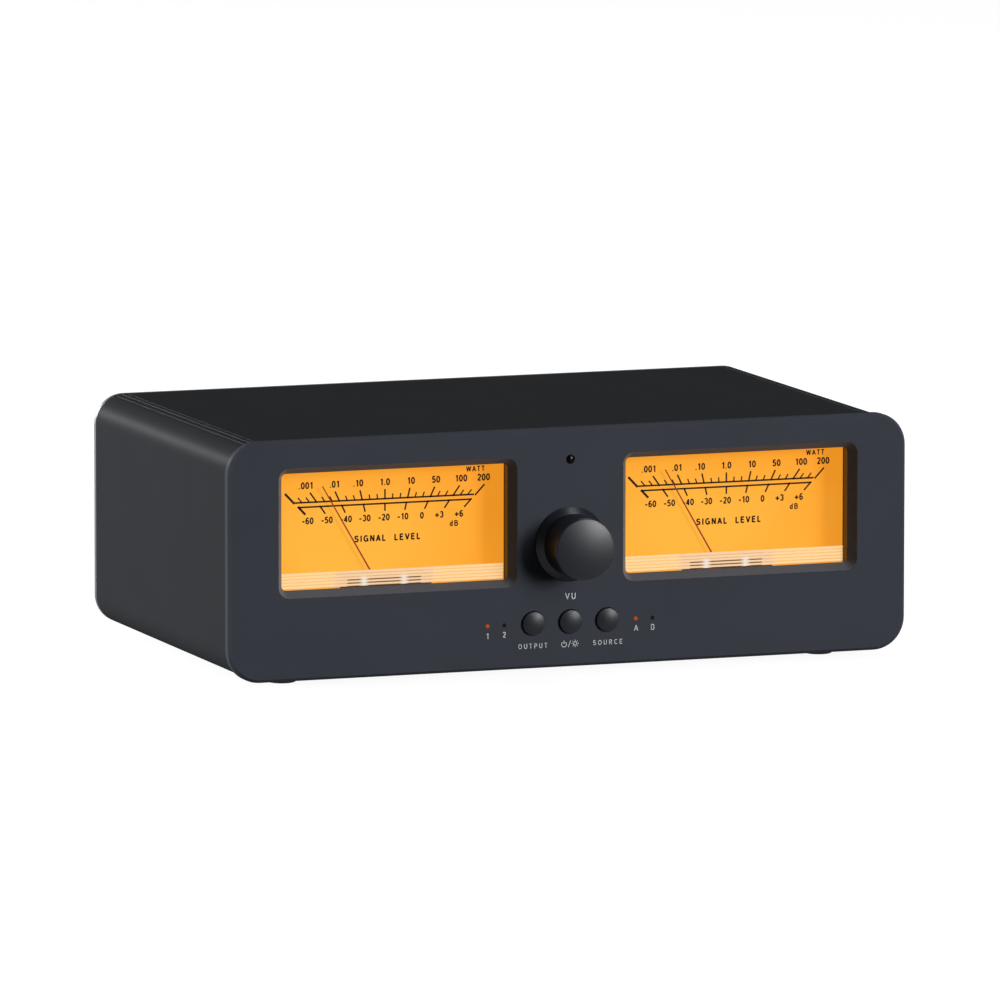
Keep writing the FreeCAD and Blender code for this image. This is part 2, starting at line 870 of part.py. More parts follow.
def make_pot_nut():
    nut = hexagon(0, -nut_thickness, knob_height_on_panel, nut_flats, nut_thickness)
    return nut.cut(rod(0, -nut_thickness - over, knob_height_on_panel, bushing_radius + hole_clearance,
                       nut_thickness + 2 * over))


def make_button(x):
    flange_front = panel_thickness + button_flange_gap
    flange_back = flange_front + button_flange_thickness
    stem_end = switch_depth + switch_well_depth - button_travel - stem_end_gap
    rim = -(button_reach - button_dome)
    return turned(x, button_height_on_panel, (0, stem_end), [
        (button_stem_radius, stem_end),
        (button_stem_radius, flange_back),
        (button_flange_radius, flange_back),
        (button_flange_radius, flange_front),
        (button_radius, flange_front),
        (button_radius, rim + button_edge),
        round_edge(button_radius, rim, button_edge),
        crown(button_radius - button_edge, rim, -button_dome),
    ])


def make_tact_switches():
    switches = []
    for x in button_xs.values():
        body = block(around(x, switch_half_width), (switch_depth, control_board_depth),
                     around(button_height_on_panel, switch_half_width))
        well = rod(x, switch_depth - over, button_height_on_panel, button_stem_radius + stem_clearance,
                   switch_well_depth + over)
        switches.append(body.cut(well))
    return switches


def make_indicator_leds():
    leds = []
    body_front = control_board_depth - led_body_length
    for x in led_xs:
        lens = rod(x, 0, led_height, led_radius, body_front)
        body = rod(x, body_front, led_height, led_body_radius, led_body_length)
        leds.append(lens.fuse(body).removeSplitter())
    return leds


def make_remote_sensor():
    body_front = control_board_depth - led_body_length
    dome = turned(0, sensor_height, (0, body_front), [
        (sensor_radius, body_front),
        (sensor_radius, 0),
        crown(sensor_radius, 0, -sensor_dome),
    ])
    body = block(around(0, sensor_half_width), (body_front, control_board_depth),
                 around(sensor_height, sensor_half_width))
    return dome.fuse(body).removeSplitter()


# Electronics


def ribbon_back():
    return main_board_front + standoff_inset


def make_control_board():
    back = control_board_depth + board_thickness
    neck = block(around(0, control_neck_half), (control_board_depth, back),
                 (control_foot_high - over, control_neck_top))
    foot = block(around(0, control_foot_half), (control_board_depth, back), (control_foot_low, control_foot_high))
    holes = [
        rod(sx * control_screw_x, control_board_depth - over, control_screw_height,
            board_screw_radius + hole_clearance, board_thickness + 2 * over)
        for sx in (-1, 1)
    ]
    header = block(around(0, header_half_width), (back, back + header_depth),
                   around(ribbon_height, header_half_height))
    return [neck.fuse(foot).removeSplitter().cut(holes), header]


def make_main_board():
    top = main_board_base + board_thickness
    board = block(around(0, main_board_half), (main_board_front, main_board_back), (main_board_base, top))
    holes = [
        upright(x, depth, main_board_base - over, board_screw_radius + hole_clearance, board_thickness + 2 * over)
        for x, depth in main_standoff_places()
    ]
    header = block(around(0, header_half_width), (ribbon_back(), ribbon_back() + header_depth),
                   (top, ribbon_height + header_half_height))
    return [board.cut(holes), header]


def make_ribbon_cable():
    """Flat cable from header to header, hanging in one shallow arc."""
    start = control_board_depth + board_thickness + header_depth
    end = ribbon_back()
    middle = (start + end) / 2.0

    def edge(offset):
        height = ribbon_height + offset
        return [place(-ribbon_half_width, depth, height - sag)
                for depth, sag in ((start, 0), (middle, ribbon_sag), (end, 0))]

    low = edge(-ribbon_thickness / 2.0)
    high = edge(ribbon_thickness / 2.0)
    wire = Part.Wire([
        Part.Arc(low[0], low[1], low[2]).toShape(),
        Part.makeLine(low[2], high[2]),
        Part.Arc(high[2], high[1], high[0]).toShape(),
        Part.makeLine(high[0], low[0]),
    ])
    return Part.Face(wire).extrude(FreeCAD.Vector(2 * ribbon_half_width, 0, 0))


def make_relays():
    width, length, tall = relay_size
    top = main_board_base + board_thickness
    return [
        block(around(x, width / 2.0), (relay_depth, relay_depth + length), (top, top + tall))
        for x in relay_xs
    ]


def make_standoffs():
    standoffs = []
    for x, depth in main_standoff_places():
        post = upright(x, depth, sleeve_floor, standoff_radius, main_board_base - sleeve_floor)
        hole = upright(x, depth, main_board_base - board_screw_engaged - board_screw_end_gap,
                       board_screw_radius + hole_clearance, board_screw_engaged + over)
        standoffs.append(post.cut(hole))
    for side in (-1, 1):
        x = side * control_screw_x
        post = rod(x, panel_thickness, control_screw_height, standoff_radius, control_board_depth - panel_thickness)
        hole = rod(x, control_board_depth - board_screw_engaged - board_screw_end_gap, control_screw_height,
                   board_screw_radius + hole_clearance, board_screw_engaged + over)
        standoffs.append(post.cut(hole))
    return standoffs


def make_board_screws():
    screws = []
    length = board_screw_engaged + board_thickness
    for x, depth in main_standoff_places():
        shank = upright(x, depth, main_board_base - board_screw_engaged, board_screw_radius, length)
        head = upright(x, depth, main_board_base + board_thickness, board_screw_head_radius, board_screw_head_height)
        screws.append(shank.fuse(head).removeSplitter())
    for side in (-1, 1):
        x = side * control_screw_x
        shank = rod(x, control_board_depth - board_screw_engaged, control_screw_height, board_screw_radius, length)
        head = rod(x, control_board_depth + board_thickness, control_screw_height,
                   board_screw_head_radius, board_screw_head_height)
        screws.append(shank.fuse(head).removeSplitter())
    return screws


# Rear terminals


def make_post_base(x, height):
    """Insulating collar outside the rear panel, with a neck through its hole."""
    face = case_depth + collar_length
    collar = turned(x, height, (0, sleeve_back), [
        (collar_neck_radius, sleeve_back),
        (collar_neck_radius, case_depth),
        (collar_radius, case_depth),
        (collar_radius, face - collar_chamfer),
        (collar_radius - collar_chamfer, face),
        (0, face),
    ])
    return collar.cut(rod(x, sleeve_back - over, height, stud_radius + hole_clearance, face - sleeve_back + 2 * over))


def make_post_stud(x, height):
    """Threaded metal stud: plug socket in its outer end, cross hole for bare wire,
    thin solder tail inside the case."""
    end = case_depth + stud_reach
    body_start = sleeve_back - stud_inner_reach
    stud = turned(x, height, (0, body_start - stud_tail_length), [
        (stud_tail_radius, body_start - stud_tail_length),
        (stud_tail_radius, body_start),
        (stud_radius, body_start),
        (stud_radius, end - stud_chamfer),
        (stud_radius - stud_chamfer, end),
        (socket_radius, end),
        (socket_radius, end - socket_length),
        (0, end - socket_length - socket_point),
    ])
    wire_hole = Part.makeCylinder(
        wire_hole_radius, 4 * stud_radius,
        place(x, case_depth + wire_hole_offset, height - 2 * stud_radius), FreeCAD.Vector(0, 0, 1),
    )
    return stud.cut(wire_hole)


def make_post_nut(x, height):
    start = sleeve_back - post_nut_thickness
    nut = hexagon(x, start, height, post_nut_flats, post_nut_thickness)
    return nut.cut(rod(x, start - over, height, stud_radius + hole_clearance, post_nut_thickness + 2 * over))


def make_cap(x, height):
    """Screw cap with a many-sided grip, open at its end for the plug."""
    start = case_depth + collar_length + cap_gap
    end = start + cap_length
    grip = polygon_prism(x, start, height, cap_radius, cap_sides, cap_length)
    ends = turned(x, height, (0, start), [
        (cap_radius - cap_chamfer, start),
        (cap_radius, start + cap_chamfer),
        (cap_radius, end - cap_chamfer),
        (cap_radius - cap_chamfer, end),
        (0, end),
    ])
    bore = rod(x, start - over, height, stud_radius + cap_clearance, cap_length + 2 * over)
    return grip.common(ends).cut(bore)


def inlet_axis_height():
    return main_board_base + board_thickness + inlet_height / 2.0


def make_dc_inlet():
    base = main_board_base + board_thickness
    height = inlet_axis_height()
    body = block(around(inlet_x, inlet_half_width), (sleeve_back - inlet_body_length, sleeve_back),
                 (base, base + inlet_height))
    barrel = rod(inlet_x, sleeve_back - over, height, inlet_barrel_radius, rear_thickness + over)
    socket = rod(inlet_x, case_depth - inlet_socket_depth, height, inlet_socket_radius, inlet_socket_depth + over)
    pin = rod(inlet_x, case_depth - inlet_socket_depth - inlet_pin_root, height, inlet_pin_radius,
              inlet_socket_depth)
    return body.fuse(barrel).cut(socket).fuse(pin).removeSplitter()


def main():
    save("front_panel", make_front_panel())
    save("case_sleeve", make_case_sleeve())
    save("rear_panel", make_rear_panel())
    save("tie_screws", make_tie_screws())
    save("rubber_feet", make_rubber_feet())
    save("foot_screws", make_foot_screws())

    for side, x in meter_xs.items():
        save(side + "_window", make_window(x))
        save(side + "_housing", make_housing(x))
        save(side + "_dial", make_dial(x))
        save(side + "_needle", make_needle(x))
        save(side + "_coil", make_coil(x))
        save(side + "_hairspring", make_hairspring(x))
    centres = list(meter_xs.values())
    save("backlights", [layer for x in centres for layer in make_backlight(x)])
    save("magnets", [make_magnet(x) for x in centres])
    save("yokes", [make_yoke(x) for x in centres])
    save("front_bridges", [make_front_bridge(x) for x in centres])
    save("movement_frames", [make_rear_frame(x) for x in centres])
    save("meter_screws", make_meter_screws())

    save("knob", make_knob())
    save("pot_shaft", make_pot_shaft())
    save("potentiometer", make_potentiometer())
    save("pot_nut", make_pot_nut())
    for side, x in button_xs.items():
        save("button_" + side, make_button(x))
    save("tact_switches", make_tact_switches())
    save("indicator_leds", make_indicator_leds())
    save("remote_sensor", make_remote_sensor())

    save("control_board", make_control_board())
    save("main_board", make_main_board())
    save("ribbon_cable", make_ribbon_cable())
    save("relays", make_relays())
    save("standoffs", make_standoffs())
    save("board_screws", make_board_screws())

    posts = post_places()
    save("post_bases", [make_post_base(x, height) for name, x, height in posts])
    save("post_studs", [make_post_stud(x, height) for name, x, height in posts])
    save("post_nuts", [make_post_nut(x, height) for name, x, height in posts])
    for name, x, height in posts:
        save("cap_" + name, make_cap(x, height))
    save("dc_inlet", make_dc_inlet())


main()
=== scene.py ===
"""Desktop stereo level meter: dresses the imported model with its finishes, prints and stage.

Lengths in this file are millimetres until a mesh is made. A place is x, depth behind the front
face and height above the front panel's lower edge, as the maker's drawings would give it.
"""

import json
import math

import bmesh
import bpy
import numpy as np
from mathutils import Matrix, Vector


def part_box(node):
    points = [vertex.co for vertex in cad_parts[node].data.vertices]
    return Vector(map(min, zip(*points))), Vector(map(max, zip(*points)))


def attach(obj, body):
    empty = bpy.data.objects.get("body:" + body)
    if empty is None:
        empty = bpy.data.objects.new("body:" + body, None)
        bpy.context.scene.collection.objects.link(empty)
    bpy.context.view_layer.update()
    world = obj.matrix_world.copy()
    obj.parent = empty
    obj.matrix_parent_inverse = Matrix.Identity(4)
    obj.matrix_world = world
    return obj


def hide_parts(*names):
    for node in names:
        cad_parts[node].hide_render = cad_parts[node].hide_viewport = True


bl_info = {
    "name": "Stereo level meter",
    "version": (1, 0, 0),
    "blender": (4, 5, 0),
    "location": "View3D > Sidebar > Level meter",
    "description": "Finishes, prints and studio for a desktop level meter with two moving-coil dials",
    "category": "Object",
}

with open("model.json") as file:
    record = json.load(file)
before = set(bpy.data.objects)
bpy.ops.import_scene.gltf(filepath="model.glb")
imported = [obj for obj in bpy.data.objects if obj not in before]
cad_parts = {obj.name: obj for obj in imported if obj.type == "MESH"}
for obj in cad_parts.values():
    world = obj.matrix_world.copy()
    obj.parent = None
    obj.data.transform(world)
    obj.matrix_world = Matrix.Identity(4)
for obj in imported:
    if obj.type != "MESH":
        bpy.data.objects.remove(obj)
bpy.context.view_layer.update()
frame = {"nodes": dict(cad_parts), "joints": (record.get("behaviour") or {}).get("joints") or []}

MM = 0.001
SIDES = ("left", "right")
BUTTONS = ("left", "centre", "right")
NODES = frame["nodes"]


def box_mm(node):
    """Lowest and highest corner of a node in millimetres."""
    low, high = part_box(node)
    return np.array(low) / MM, np.array(high) / MM


PANEL_LOW, PANEL_HIGH = box_mm("front_panel")
FRONT_Y = PANEL_LOW[1]
BASE_Z = PANEL_LOW[2]
PANEL_THICKNESS = PANEL_HIGH[1] - PANEL_LOW[1]


def middle(node):
    """x, depth and height of the middle of a node's box."""
    low, high = box_mm(node)
    return (low + high) / 2 - np.array([0, FRONT_Y, BASE_Z])


def front_of(node):
    """Depth of a node's foremost point."""
    return box_mm(node)[0][1] - FRONT_Y


def joint_place(name):
    """x and height of a joint's axis."""
    joint = next(j for j in frame["joints"] if j["name"] == name)
    return joint["pos_m"][0] / MM, joint["pos_m"][2] / MM - BASE_Z


# Colours


def linear(code):
    """Linear RGB of an sRGB hex colour, by the sRGB transfer curve."""
    values = [int(code[i:i + 2], 16) / 255 for i in (1, 3, 5)]
    return tuple(v / 12.92 if v <= 0.04045 else ((v + 0.055) / 1.055) ** 2.4 for v in values)


def rgba(code):
    """Linear colour of an sRGB hex colour, with an alpha of one."""
    return linear(code) + (1.0,)


# Settings a user would change


def length(name, default, description):
    return bpy.props.FloatProperty(name=name, default=default, description=description,
                                   unit="LENGTH", subtype="DISTANCE", precision=5)


def colour(name, code, description):
    return bpy.props.FloatVectorProperty(name=name, default=linear(code), description=description,
                                         subtype="COLOR", size=3, min=0.0, max=1.0)


class LevelMeterSizes(bpy.types.PropertyGroup):
    """Sizes of what the scene adds to the model."""

    groove_radius: length("Groove radius", 0.45 * MM, "Radius of the fine grooves along the case")
    ink_lift: length("Ink lift", 0.03 * MM, "How far the printing stands off the surface under it")
    digit_height: length("Dial digits", 2.4 * MM, "Height of the numbers on the dials")
    title_height: length("Dial title", 2.25 * MM, "Height of the capitals of the dials' title")
    label_height: length("Front labels", 2.15 * MM, "Height of the capitals on the front panel")


class LevelMeterColours(bpy.types.PropertyGroup):
    """Colours of the finishes."""

    anodised: colour("Anodised panel", "#3B3E45", "Dyed black anodising of the front panel")
    sleeve: colour("Anodised sleeve", "#292B2D", "Dyed black anodising of the case tube")
    # The window walls' colour is a paler copy of the anodising: painted light on the walls
    bezel: colour("Window walls", "#575A61", "Cut walls of the window openings")
    # Both dial colours are painted light: the emission of the dials, deeper far from the lamps
    dial: colour("Dial glow", "#FFB23A", "Colour of the lit dials")
    dial_glow_far: colour("Dial glow at its corners", "#FB9C22", "Colour of the lit dials far from the lamps")
    ink: colour("Dial ink", "#220B02", "Ink of the scales")
    front_ink: colour("Front ink", "#C9CACC", "Ink of the lettering on the front panel")
    lamp: colour("Indicator glow", "#C8500C", "Colour of a lit indicator lamp")


def sizes():
    return bpy.context.scene.level_meter_sizes


def colours():
    return bpy.context.scene.level_meter_colours


def chosen(name):
    """A colour setting with an alpha of one."""
    return tuple(getattr(colours(), name)) + (1.0,)


# Shader building


def add_node(tree, kind, inputs=None, stops=(), **settings):
    """Adds a shader node. An input takes a number, a colour, an output, or a node for its first
    output in use. stops are the positions and linear colours of a colour ramp."""
    node = tree.nodes.new("ShaderNode" + kind)
    for name, value in settings.items():
        setattr(node, name, value)
    for name, value in (inputs or {}).items():
        if isinstance(value, bpy.types.Node):
            value = next(output for output in value.outputs if output.enabled)
        if isinstance(value, bpy.types.NodeSocket):
            tree.links.new(value, node.inputs[name])
        else:
            node.inputs[name].default_value = value
    if stops:
        for element, (position, value) in zip(node.color_ramp.elements, stops):
            element.position = position
            element.color = value
    return node


def new_material(name):
    """Empty material and its node tree."""
    material = bpy.data.materials.new(name)
    material.use_nodes = True
    material.node_tree.nodes.clear()
    return material, material.node_tree


def close_material(material, inputs):
    """Ends a material in a principled shader with these inputs."""
    tree = material.node_tree
    add_node(tree, "OutputMaterial", {"Surface": add_node(tree, "BsdfPrincipled", inputs)})
    return material


def place_mm(tree):
    """Object coordinates in millimetres."""
    where = add_node(tree, "TexCoord").outputs["Object"]
    return add_node(tree, "VectorMath", {0: where, "Scale": 1 / MM}, operation="SCALE")


def patches(tree, size_mm, detail=2.0, stretch=(1, 1, 1)):
    """Noise whose patches are about size_mm across, stretched per axis."""
    place = add_node(tree, "Mapping", {"Vector": place_mm(tree), "Scale": stretch})
    pattern = add_node(tree, "TexNoise", {"Vector": place, "Scale": 1 / size_mm, "Detail": detail})
    return pattern.outputs["Fac"]


def shade(value, factor):
    """A linear colour made darker or lighter."""
    return tuple(min(1.0, channel * factor) for channel in value[:3]) + (1.0,)


# Materials

# Sealed anodising: the dyed pores give no gloss of their own, only the thin satin skin over them
SEALED = {"Specular IOR Level": 0.0, "Coat Weight": 0.02, "Coat Roughness": 0.42}

# Each finish: its colour or the setting that holds it, the size of its grain and the depth of its
# relief in millimetres, its roughness, how far its colour varies, other sockets of its shader and,
# for wound wire, the stretch of its grain. Real grain of blasting, turning and moulding is under
# 0.2 mm, too fine to show, so it is drawn as coarse as it needs to show.
FINISHES = {
    # Aluminium, bead blasted, dyed and sealed: a satin face that is a little blue
    "bead_blasted_black_anodising": ("anodised", 0.5, 0.004, 0.5, 0.06, SEALED),
    # Extruded aluminium, blasted, dyed and sealed: matt, with a faint satin sheen where a lamp
    # meets its rounded edges
    "extruded_black_anodising": ("sleeve", 0.5, 0.004, 0.6, 0.06, SEALED),
    # Milled window walls under the same dye: smoother than the blasted face, and painted paler than it, which
    # stands in for the light the walls catch
    "milled_anodising_painted_paler": ("bezel", 0.4, 0.002, 0.4, 0.06, {"Specular IOR Level": 0.05}),
    # Aluminium with fine turning lines under a black dye: bright where it faces the light
    "turned_black_anodising": ("#1A1D24", 0.4, 0.003, 0.35, 0.06, {"Specular IOR Level": 0.38}),
    # Moulded ABS with a soft-touch lacquer: dark grey, with a soft gloss
    "lacquered_button_abs": ("#1B1E25", 0.3, 0.004, 0.36, 0.06, {"Specular IOR Level": 0.25}),
    # Steel with a black powder coat: fine orange peel about half a millimetre across
    "black_powder_coat": ("#17181A", 0.6, 0.02, 0.55, 0.12, {}),
    # Steel screws with bright zinc: grey metal with a faint blue cast
    "bright_zinc_plate": ("#A7ABB2", 0.8, 0.004, 0.34, 0.08, {"Metallic": 1.0}),
    # Steel screws with black oxide: dark, slightly oily metal
    "black_oxide_steel": ("#2A2A2C", 0.6, 0.004, 0.38, 0.12, {"Metallic": 0.8}),
    # Stamped steel, chemically browned: a satin, warm brown
    "browned_steel": ("#744725", 0.6, 0.004, 0.45, 0.12, {"Metallic": 0.3}),
    # Moulded nitrile rubber: matt, nearly black
    "moulded_nitrile_rubber": ("#151515", 0.4, 0.01, 0.72, 0.12, {}),
    # Moulded ABS tray: semi-gloss black brown, which mirrors the glow of the dial
    "moulded_housing_abs": ("#1C1410", 0.8, 0.004, 0.28, 0.12, {}),
    # Screen-printing inks: matt, with a faint mottle as they dry
    "dial_ink": ("ink", 0.5, 0.002, 0.6, 0.06, {"Specular IOR Level": 0.1}),
    "front_lettering_ink": ("front_ink", 0.5, 0.002, 0.6, 0.06, {"Specular IOR Level": 0.1}),
    # Sprayed enamel on an aluminium needle: matt red brown
    "needle_enamel": ("#A0340C", 0.4, 0.002, 0.5, 0.12, {"Specular IOR Level": 0.2}),
    # Enamelled copper wire, wound side by side 0.3 mm apart: fine bright turns
    "enamelled_copper": ("#B4622E", 0.3, 0.02, 0.35, 0.12, {"Metallic": 0.9}, (0.2, 1, 0.2)),
    # Phosphor bronze strip, rolled: bright, warm metal
    "phosphor_bronze": ("#B98A4A", 0.4, 0.002, 0.3, 0.12, {"Metallic": 1.0}),
    # Cast magnet alloy, ground: dull grey
    "ground_magnet_alloy": ("#6E6C69", 0.6, 0.01, 0.5, 0.12, {"Metallic": 0.9}),
    # Turned soft iron with a nickel flash: satin, faintly warm grey
    "nickelled_soft_iron": ("#8B8A86", 0.6, 0.006, 0.4, 0.12, {"Metallic": 1.0}),
    # Stamped aluminium bar, tumbled: bright and even
    "tumbled_aluminium": ("#C9CACC", 0.7, 0.006, 0.35, 0.12, {"Metallic": 1.0}),
    # Infrared-pass epoxy: glossy and almost black
    "infrared_epoxy": ("#0A0506", 0.6, 0.001, 0.15, 0.12, {"Specular IOR Level": 0.1}),
    # Moulded relay covers: semi-gloss sky blue
    "moulded_relay_cover": ("#2E6FA8", 0.6, 0.005, 0.35, 0.12, {}),
    # Turned brass: bright yellow metal
    "turned_brass": ("#C9A24D", 0.5, 0.006, 0.3, 0.12, {"Metallic": 1.0}),
    # Brass with a thin gold flash over nickel, for the plug sockets: bright and smooth
    "gold_flashed_brass": ("#D9B35C", 0.5, 0.004, 0.24, 0.06, {"Metallic": 1.0}),
    # Moulded polycarbonate of the binding posts: glossy red and black
    "moulded_red_polycarbonate": ("#9C1A16", 0.6, 0.006, 0.32, 0.12, {}),
    "moulded_black_polycarbonate": ("#161617", 0.6, 0.006, 0.34, 0.12, {}),
}


def finish(name):
    """A finish of the table: colour, roughness and relief follow one fine noise, and the colour
    also drifts a little over a broad one."""
    drift_mm, drift_share, swing = 25.0, 0.35, 0.05
    code, grain_mm, relief_mm, roughness, variation, sockets, *stretch = FINISHES[name]
    base = rgba(code) if code.startswith("#") else chosen(code)
    material, tree = new_material(name)
    fine = patches(tree, grain_mm, 2.0, *stretch)
    broad = patches(tree, drift_mm, 1.0)
    blend = add_node(tree, "Mix", {"Factor": drift_share, "A": fine, "B": broad}, data_type="FLOAT")
    tints = ((0.3, shade(base, 1 - variation)), (0.7, shade(base, 1 + variation)))
    return close_material(material, {
        "Base Color": add_node(tree, "ValToRGB", {"Fac": blend}, stops=tints),
        "Roughness": add_node(tree, "MapRange", {"Value": fine, "To Min": roughness - swing,
                                                 "To Max": roughness + swing}),
        "Normal": add_node(tree, "Bump", {"Height": fine, "Distance": relief_mm * MM}),
        **sockets})


def acrylic():
    """Cast acrylic, polished: so clear that only its gloss shows."""
    return close_material(new_material("clear_cast_acrylic")[0], {
        "Base Color": rgba("#6E6A66"), "Roughness": 0.03, "IOR": 1.49, "Alpha": 0.02})


def flutes_with_painted_glow(side, first, pitch):
    """Moulded acrylic flutes with painted light: their emission paints the lamps' stray light on them. Each
    crown shows more of this painted glow and each groove stays clear: the share of glow is a cosine of the
    height with one period per flute. In the middle a painted reflection stands for the image of the bridge:
    two dark rows in the lowest grooves, and two painted glints where its screw heads throw light back. Each
    share is a smooth step of the distance from the image's middle in millimetres, or of the height in flutes."""
    # Where the painted reflection of the bridge and the painted glints lie: the offset, half width and rows
    # of the image, then the reach, width and rows of the glints
    painted_image_offset, painted_image_half, painted_image_rows, band_half = -3.3, 14.0, 2.0, 18.0
    painted_glint_reach, painted_glint_width, painted_glint_rows = 7.6, 2.4, (3.2, 1.6)
    material, tree = new_material("acrylic_flutes_painted_glow_" + side)
    centre = joint_place(side + "_needle_swing")[0] + painted_image_offset
    place = add_node(tree, "Mapping", {"Vector": place_mm(tree), "Scale": (1, 1, 1 / pitch),
                                       "Location": (-centre, 0, -(first + BASE_Z) / pitch)})
    across, deep, rise = add_node(tree, "SeparateXYZ", {0: place}).outputs
    wave = add_node(tree, "Math", {0: rise, 1: 2 * math.pi}, operation="MULTIPLY")
    wave = add_node(tree, "Math", {0: wave}, operation="COSINE")
    painted_glow_share, groove = (
        add_node(tree, "MapRange", {"Value": wave, "From Min": -0.95, "From Max": 0.2,
                                    "To Min": low, "To Max": high})
        for low, high in ((0.3, 0.75), (1.0, 0.0)))
    away = add_node(tree, "Math", {0: across}, operation="ABSOLUTE")
    ring = add_node(tree, "Math", {0: away, 1: painted_glint_reach}, operation="SUBTRACT")
    ring = add_node(tree, "Math", {0: ring}, operation="ABSOLUTE")
    band, painted_glint, painted_glint_low, dark, painted_image_low = (
        add_node(tree, "MapRange", {"Value": value, "From Min": none, "From Max": whole},
                 interpolation_type="SMOOTHSTEP")
        for value, none, whole in (
            (away, band_half + 2.0, band_half), (ring, painted_glint_width, 0.0), (rise, *painted_glint_rows),
            (away, painted_image_half + 0.5, painted_image_half - 0.5), (rise, painted_image_rows + 0.1, painted_image_rows - 0.1)))
    painted_glint = add_node(tree, "Math", {0: painted_glint, 1: painted_glint_low}, operation="MULTIPLY")
    unlit = add_node(tree, "Math", {0: 1.0, 1: painted_glint}, operation="SUBTRACT")
    # dark is the painted reflection of the bridge: its rows, in the grooves, away from the painted glints
    for share in (painted_image_low, groove, unlit):
        dark = add_node(tree, "Math", {0: dark, 1: share}, operation="MULTIPLY")
    # Colour of the painted glow: warmer in the grooves, white at the painted glints, brown in the painted
    # reflection of the bridge
    tint = rgba("#F6D0AC")
    for share, code in ((groove, "#E0A872"), (painted_glint, "#EBECF1"), (dark, "#6E4A34")):
        tint = add_node(tree, "Mix", {"Factor": share, "A": tint, "B": rgba(code)}, data_type="RGBA")
    # The base darkens in the painted reflection of the bridge. The emission is the painted stray light, a
    # plain pale glow outside the middle band
    return close_material(material, {
        "Base Color": add_node(tree, "Mix", {"Factor": dark, "A": shade(rgba("#FFD9A0"), 0.5),
                                             "B": rgba("#20140E")}, data_type="RGBA"),
        "Roughness": 0.3, "IOR": 1.49, "Specular IOR Level": 0.2,
        "Emission Color": add_node(tree, "Mix", {"Factor": band, "A": rgba("#FFDCA4"), "B": tint},
                                   data_type="RGBA"),
        "Emission Strength": 0.64,
        "Alpha": add_node(tree, "Mix", {"Factor": band, "A": painted_glow_share, "B": 0.9}, data_type="FLOAT")})


def dial_glow(side):
    """Orange polyester film lit from behind, its light painted as emission: even, with a painted pool of
    light a little paler over the lamps and painted shade deeper in the far corners. The glow is a function of
    the distance from a point left of the dial's lower middle, in shares of how far the lamps reach, with a
    faint unevenness."""
    glow_shift, glow_height, glow_reach = -12, 46, (62, 34)
    patch_mm, unevenness = 18.0, 0.15
    material, tree = new_material("dial_film_painted_glow_" + side)
    centre = (middle(side + "_dial")[0] + glow_shift, 0, BASE_Z + glow_height)
    place = add_node(tree, "VectorMath", {0: place_mm(tree), 1: centre}, operation="SUBTRACT")
    shares = (1 / glow_reach[0], 0, 1 / glow_reach[1])
    place = add_node(tree, "VectorMath", {0: place, 1: shares}, operation="MULTIPLY")
    away = add_node(tree, "VectorMath", {0: place}, operation="LENGTH")
    uneven = add_node(tree, "MapRange", {"Value": patches(tree, patch_mm, 0.0),
                                         "To Min": -unevenness, "To Max": unevenness})
    away = add_node(tree, "Math", {0: away, 1: uneven}, operation="ADD")
    # The painted glow: paler near the lamps, deeper far from them
    tints = ((0.25, chosen("dial")), (1.0, chosen("dial_glow_far")))
    return close_material(material, {
        "Base Color": shade(chosen("dial"), 0.25), "Roughness": 0.7, "Specular IOR Level": 0.1,
        "Emission Color": add_node(tree, "ValToRGB", {"Fac": away}, stops=tints),
        "Emission Strength": 0.88})


def light_guide():
    """Acrylic light guide with a white dotted back, glowing warm white."""
    material, tree = new_material("light_guide_acrylic")
    tints = ((0.3, rgba("#FFC878")), (0.7, rgba("#FFE0B0")))
    return close_material(material, {
        "Base Color": rgba("#F4D9A8"), "Roughness": 0.4, "Emission Strength": 0.9,
        "Emission Color": add_node(tree, "ValToRGB", {"Fac": patches(tree, 6.0)}, stops=tints)})


def lamp_epoxy():
    """Tinted lamp epoxy. The second lamp from the left and the last one are dark. A lamp is lit
    where its distance from lit_middle is about lit_reach."""
    lit_middle = -3.175
    lit_reach = 28.475
    material, tree = new_material("tinted_lamp_epoxy")
    across = add_node(tree, "SeparateXYZ", {0: place_mm(tree)}).outputs[0]
    away = add_node(tree, "Math", {0: across, 1: lit_middle}, operation="SUBTRACT")
    away = add_node(tree, "Math", {0: away}, operation="ABSOLUTE")
    lit = add_node(tree, "Math", {0: away, 1: lit_reach, 2: 2.0}, operation="COMPARE")
    tint, glow = (
        add_node(tree, "Mix", {"Factor": lit, "A": unlit, "B": whole}, data_type="RGBA")
        for unlit, whole in ((rgba("#1A0D0B"), rgba("#240803")), ((0, 0, 0, 1), chosen("lamp"))))
    return close_material(material, {
        "Base Color": tint, "Roughness": 0.4, "Specular IOR Level": 0.05,
        "Emission Color": glow, "Emission Strength": 0.75})


def board_laminate():
    """Glass-fibre board with green solder mask; tracks about 2 mm apart show as paler lines."""
    material, tree = new_material("solder_masked_board")
    lines = add_node(tree, "TexWave", {"Vector": place_mm(tree), "Scale": 0.16, "Distortion": 6.0},
                     wave_type="BANDS").outputs["Fac"]
    tints = ((0.55, rgba("#12472A")), (0.7, rgba("#2C7A48")))
    return close_material(material, {
        "Base Color": add_node(tree, "ValToRGB", {"Fac": lines}, stops=tints), "Roughness": 0.35,
        "Normal": add_node(tree, "Bump", {"Height": lines, "Distance": 0.03 * MM})})


